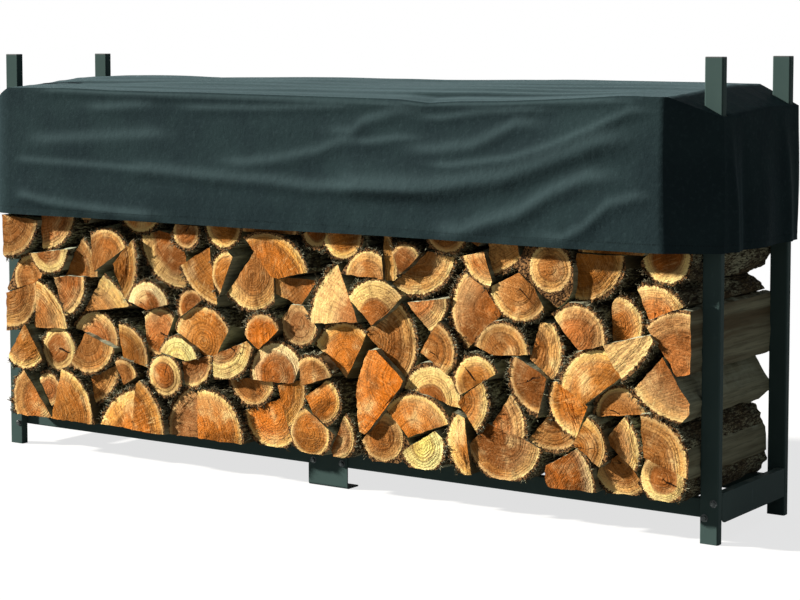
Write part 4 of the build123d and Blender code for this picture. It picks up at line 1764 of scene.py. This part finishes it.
    def _skirt(self, rim: list[int], layout: Layout) -> None:
        """Hang the skirt from the lid's rim.

        Args:
            rim: The lid's edge points in order.
            layout: The sheet so far.
        """
        count = len(rim)
        plan = [Vector(layout.points[place][:2]) for place in rim]
        runs = np.cumsum([0.0] + [(plan[(i + 1) % count] - plan[i]).length for i in range(count)])
        shares = self._drops()
        ring = list(rim)
        for place in rim:
            layout.seam[place] = 0.5
        for share in shares:
            below = []
            sewn = 1.0 if share == shares[-3] else 0.0
            for i in range(count):
                tangent = plan[(i + 1) % count] - plan[i - 1]
                outward = Vector((tangent.y, -tangent.x)).normalized()
                high, run = layout.points[rim[i]][2], float(runs[i])
                z = high + (self.hem - high) * share
                out, ridge = self._hang(plan[i], outward, z, share, run)
                spot = plan[i] + outward * out
                dip = self.hem_wander * ripple(plan[i].x * 2.0, plan[i].y * 3.0, 5.0)
                below.append(layout.add((spot.x, spot.y, z + dip * share), (run, z), sewn, ridge))
            for i in range(count):
                after = (i + 1) % count
                layout.faces.append((ring[i], below[i], below[after], ring[after]))
            ring = below

    def _hang(self, spot: Vector, outward: Vector, z: float, share: float,
              run: float) -> tuple[float, float]:
        """How far the skirt stands out at one place, and how much of a crest it is.

        Args:
            spot: Place on the plan.
            outward: Direction out of the plan.
            z: Height.
            share: Share of the drop from rim to hem.
            run: Length along the rim.

        Returns:
            The standing out in metres and the crest share, which sets the painted highlight.
        """
        out = self.flare * share * share + self.belly * math.sin(math.pi * share)
        out += self.skirt_wave * ripple(run * 3.0, z * 4.0, 0.5) * min(1.0, share * 5)
        near_hem = max(0.0, 1 - (z - self.hem) / self.pucker_rise)
        out += self.pucker * near_hem * ripple(run * 16.0, 0.3, 2.0)
        ridge = 0.0
        if -outward.y > FACING:
            ease = smooth((self.half - self.corner_run - abs(spot.x)) / self.fold_ease)
            for fold in FRONT_FOLDS:
                height, near = self._fold(fold, spot.x, z)
                out += height * ease
                ridge = max(ridge, near * ease)
        elif abs(outward.x) > FACING:
            for fold in END_FOLDS:
                aside = spot.y - fold.place - self.end_lean * (share - 0.5)
                out += fold.height * math.exp(-(aside / fold.width) ** 2) * min(1.0, share * 1.6)
        else:
            out += self.corner_wave * ripple(run * 2.2, z * 2.0, 8.0) * share
        return out, ridge

    def _fold(self, fold: Fold, x: float, z: float) -> tuple[float, float]:
        """Height of one fold at one place on the front.

        Args:
            fold: The fold.
            x: Place along the store.
            z: Height.

        Returns:
            How far it stands out, and how much painted highlight the place takes, on the lit side just
            above its crest.
        """
        along = [place[0] for place in fold.crest]
        line = float(np.interp(x, along, [place[1] for place in fold.crest]))
        beyond = max(0.0, along[0] - x, x - along[-1])
        gap = z - line
        reach = fold.above if gap > 0 else fold.below
        fade = math.exp(-(beyond / self.fold_fade) ** 2)
        crest = math.exp(-(gap / reach) ** 1.3) if gap > 0 else math.exp(-(gap / reach) ** 2)
        hollow = self.fold_hollow * math.exp(-((gap / fold.below + 2.0) / 1.1) ** 2)
        # Painted highlight: a band on the fold's upper side, just above the crest.
        highlight_share = fade * math.exp(-((gap / fold.above - 0.2) / 0.35) ** 2)
        return fold.height * ((crest - hollow) * fade), highlight_share

    def _soften(self, piece: bpy.types.Object) -> None:
        """Round the sheet's edges a little, leaving its open edges where they are.

        Args:
            piece: The cover.
        """
        uses = Counter(key for face in piece.data.polygons for key in face.edge_keys)
        open_edge = {corner for key, count in uses.items() if count == 1 for corner in key}
        inner = [vert.index for vert in piece.data.vertices if vert.index not in open_edge]
        piece.vertex_groups.new(name="inner").add(inner, 1.0, "REPLACE")
        soft = piece.modifiers.new("soft_edges", "SMOOTH")
        soft.factor = self.softness
        soft.iterations = 1
        soft.vertex_group = "inner"
        apply_modifiers(piece)


@dataclass
class Rack:
    """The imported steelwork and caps, which keep their shapes and take their finishes."""

    steel_nodes: tuple[str, ...] = ("post_", "rail_", "end_rail_", "foot_")
    cap_nodes: tuple[str, ...] = ("cap_",)

    def dress(self, steel: bpy.types.Material, plastic: bpy.types.Material) -> None:
        """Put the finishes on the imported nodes.

        Args:
            steel: Powder coat.
            plastic: Cap plastic.
        """
        for name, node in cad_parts.items():
            for prefixes, finish in ((self.steel_nodes, steel), (self.cap_nodes, plastic)):
                if name.startswith(prefixes):
                    node.data.materials.clear()
                    node.data.materials.append(finish)
                    LOG.info("%s: %s", name, finish.name)


@dataclass
class Fasteners:
    """Hexagon bolts with washers, on the posts and over the rail joints."""

    across: float = 0.0075
    head: float = 0.0055
    washer: float = 0.010
    washer_thick: float = 0.0016
    inset: float = 0.2
    crown: float = 0.18
    eased: float = 0.0004
    turn: float = 7.0
    sharp: float = math.radians(35)
    post_places: tuple[tuple[float, float], ...] = ((1.208, 0.105), (1.183, 0.066))
    foot_places: tuple[tuple[float, float], ...] = ((0.05, 0.072), (-0.05, 0.072))

    def build(self, finish: bpy.types.Material) -> None:
        """Model one bolt and set a copy at each place.

        Args:
            finish: The bolts' material.
        """
        pattern = self._bolt(finish)
        for end, sign in (("front", -1), ("back", 1)):
            for side, hand in (("left", -1), ("right", 1)):
                face = self._face(f"post_{end}_{side}", sign)
                for number, (x, z) in enumerate(self.post_places, 1):
                    self._set(pattern, f"bolt_{end}_{side}_{number}", (hand * x, face, z), sign)
            face = self._face(f"foot_{end}", sign)
            for number, (x, z) in enumerate(self.foot_places, 1):
                self._set(pattern, f"bolt_foot_{end}_{number}", (x, face, z), sign)
        bpy.data.objects.remove(pattern)

    @staticmethod
    def _face(node: str, sign: int) -> float:
        """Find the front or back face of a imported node."""
        low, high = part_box(node)
        return low[1] if sign < 0 else high[1]

    def _bolt(self, finish: bpy.types.Material) -> bpy.types.Object:
        """Model a bolt head on its washer, standing on Z.

        Args:
            finish: The bolt's material.

        Returns:
            The pattern bolt.
        """
        washer = self._disc(24, self.washer, 0.0, self.washer_thick)
        bolt = self._disc(6, self.across, self.washer_thick, self.head)
        edit(bolt)
        bpy.ops.mesh.select_mode(type="FACE")
        pick(bolt, Pick.FACES, lambda face: face.normal.z > FACING)
        bpy.ops.mesh.inset(thickness=self.across * self.inset)
        bpy.ops.transform.translate(value=(0, 0, self.head * self.crown))
        deselect()
        for part in (washer, bolt):
            take(part)
            bpy.ops.object.transform_apply(location=True, rotation=True, scale=True)
            edge = part.modifiers.new("eased_edges", "BEVEL")
            edge.width = self.eased
            edge.segments = 2
            apply_modifiers(part)
        take(bolt)
        washer.select_set(True)
        bpy.ops.object.join()
        bolt.data.materials.clear()
        bolt.data.materials.append(finish)
        bpy.ops.object.shade_smooth_by_angle(angle=self.sharp)
        return bolt

    @staticmethod
    def _disc(sides: int, radius: float, foot: float, height: float) -> bpy.types.Object:
        """Stand a disc or prism on Z.

        Args:
            sides: How many sides it has.
            radius: Its radius to the corners.
            foot: Height of its underside.
            height: Its own height.

        Returns:
            The piece.
        """
        deselect()
        middle = (0, 0, foot + height / 2)
        bpy.ops.mesh.primitive_cylinder_add(vertices=sides, radius=radius, depth=height, location=middle)
        return bpy.context.active_object

    def _set(self, pattern: bpy.types.Object, name: str, place: Triple, sign: int) -> None:
        """Set one copy of the bolt on an upright face.

        Args:
            pattern: The modelled bolt.
            name: The copy's name.
            place: Its place on the face.
            sign: -1 on a face to the front, 1 on a face to the back.
        """
        copy = add_piece(name, pattern.data.copy())
        copy.rotation_euler = (math.radians(90 if sign < 0 else -90), math.radians(self.turn), 0)
        copy.location = place
        take(copy)
        bpy.ops.object.transform_apply(location=True, rotation=True, scale=True)
        settle_piece(copy)


@dataclass
class Studio:
    """Pale floor, soft sky, one low lamp and the camera."""

    camera_at: Triple = (3.448, -4.875, 1.251)
    camera_turn: Triple = (85.62, 0.0, 34.14)
    lens: float = 94.0
    sensor: float = 36.0
    shift: float = -0.12
    clip_end: float = 100.0
    floor_reach: float = 14.0
    floor_stretch: Triple = (0.62, 1.0, 1.0)
    fade: tuple[float, float] = (1.6, 3.4)
    floor_tone: float = 0.25
    floor_glow: float = 0.74
    sun_strength: float = 9.0
    sun_turn: Triple = (65.5, 0.0, -64.0)
    sun_spread: float = 3.0
    sun_colour: Triple = (1.0, 0.95, 0.87)
    sky: Colour = (0.82, 0.9, 1.0, 1.0)
    sky_strength: float = 0.14

    def build(self) -> None:
        """Set up floor, sky, lamp and camera."""
        self._floor()
        self._sky()
        self._sun()
        self._camera()

    def _floor(self) -> None:
        """Lay a pale floor that keeps the store's shadow and fades to white further off."""
        deselect()
        bpy.ops.mesh.primitive_circle_add(vertices=96, radius=self.floor_reach, fill_type="NGON")
        floor = bpy.context.active_object
        floor.name = "floor"
        material, graph, shader = new_finish("floor_white")
        graph.fill(shader, {
            "Base Color": (*[self.floor_tone] * 3, 1.0),
            "Roughness": 0.9,
            "Specular IOR Level": 0.0,
        })
        x, y, _ = graph.parts(graph.place(self.floor_stretch))
        eye = graph.seen()
        share = graph.times(graph.step(graph.distance(x, y), *self.fade), eye)
        white = graph.add("Emission", {"Color": WHITE, "Strength": 1.0})
        glow = graph.add("Emission", {"Color": WHITE, "Strength": graph.times(eye, self.floor_glow)})
        near = graph.add("AddShader", {0: shader.outputs[0], 1: glow.outputs[0]})
        blend = graph.add("MixShader", {0: share, 1: near.outputs[0], 2: white.outputs[0]})
        output = material.node_tree.nodes["Material Output"]
        graph.feed(output.inputs["Surface"], blend.outputs[0])
        floor.data.materials.append(material)

    def _sky(self) -> None:
        """Light the scene softly from all round, with white behind it."""
        world = bpy.data.worlds.new("studio_sky")
        world.use_nodes = True
        bpy.context.scene.world = world
        graph = Graph(world.node_tree)
        soft = graph.add("Background", {"Color": self.sky, "Strength": self.sky_strength})
        white = graph.add("Background", {"Color": WHITE, "Strength": 1.0})
        blend = graph.add("MixShader", {0: graph.seen(), 1: soft.outputs[0], 2: white.outputs[0]})
        graph.feed(world.node_tree.nodes["World Output"].inputs["Surface"], blend.outputs[0])

    def _sun(self) -> None:
        """Hang the main lamp low on the front left."""
        lamp = bpy.data.lights.new("main_lamp", "SUN")
        lamp.energy = self.sun_strength
        lamp.angle = math.radians(self.sun_spread)
        lamp.color = self.sun_colour
        sun = add_piece("main_lamp", lamp)
        sun.rotation_euler = tuple(math.radians(turn) for turn in self.sun_turn)

    def _camera(self) -> None:
        """Stand the camera on the front right, a little above the posts."""
        lens = bpy.data.cameras.new("camera")
        lens.lens = self.lens
        lens.sensor_width = self.sensor
        lens.shift_y = self.shift
        lens.clip_end = self.clip_end
        camera = add_piece("camera", lens)
        camera.location = self.camera_at
        camera.rotation_euler = tuple(math.radians(turn) for turn in self.camera_turn)
        bpy.context.scene.camera = camera


def main() -> None:
    """Dress the store piece by piece and set up the studio."""
    logging.basicConfig(level=logging.INFO, format="%(name)s %(message)s")
    bpy.context.scene.view_settings.view_transform = "Standard"
    effects = Effects()
    Rack().dress(SteelFinish().material(effects), CapFinish().material(effects))
    Fasteners().build(BoltFinish().material(effects))
    wood = {
        Surface.END: EndGrainFinish().material(),
        Surface.BARK: BarkFinish().material(effects),
        Surface.SPLIT: SplitFinish().material(effects),
    }
    stack = LogStack()
    stack.build(wood)
    Shreds().build(stack.rims, wood)
    Cover().build(CoverFinish().material(effects))
    Studio().build()


if __name__ == "__main__":
    main()
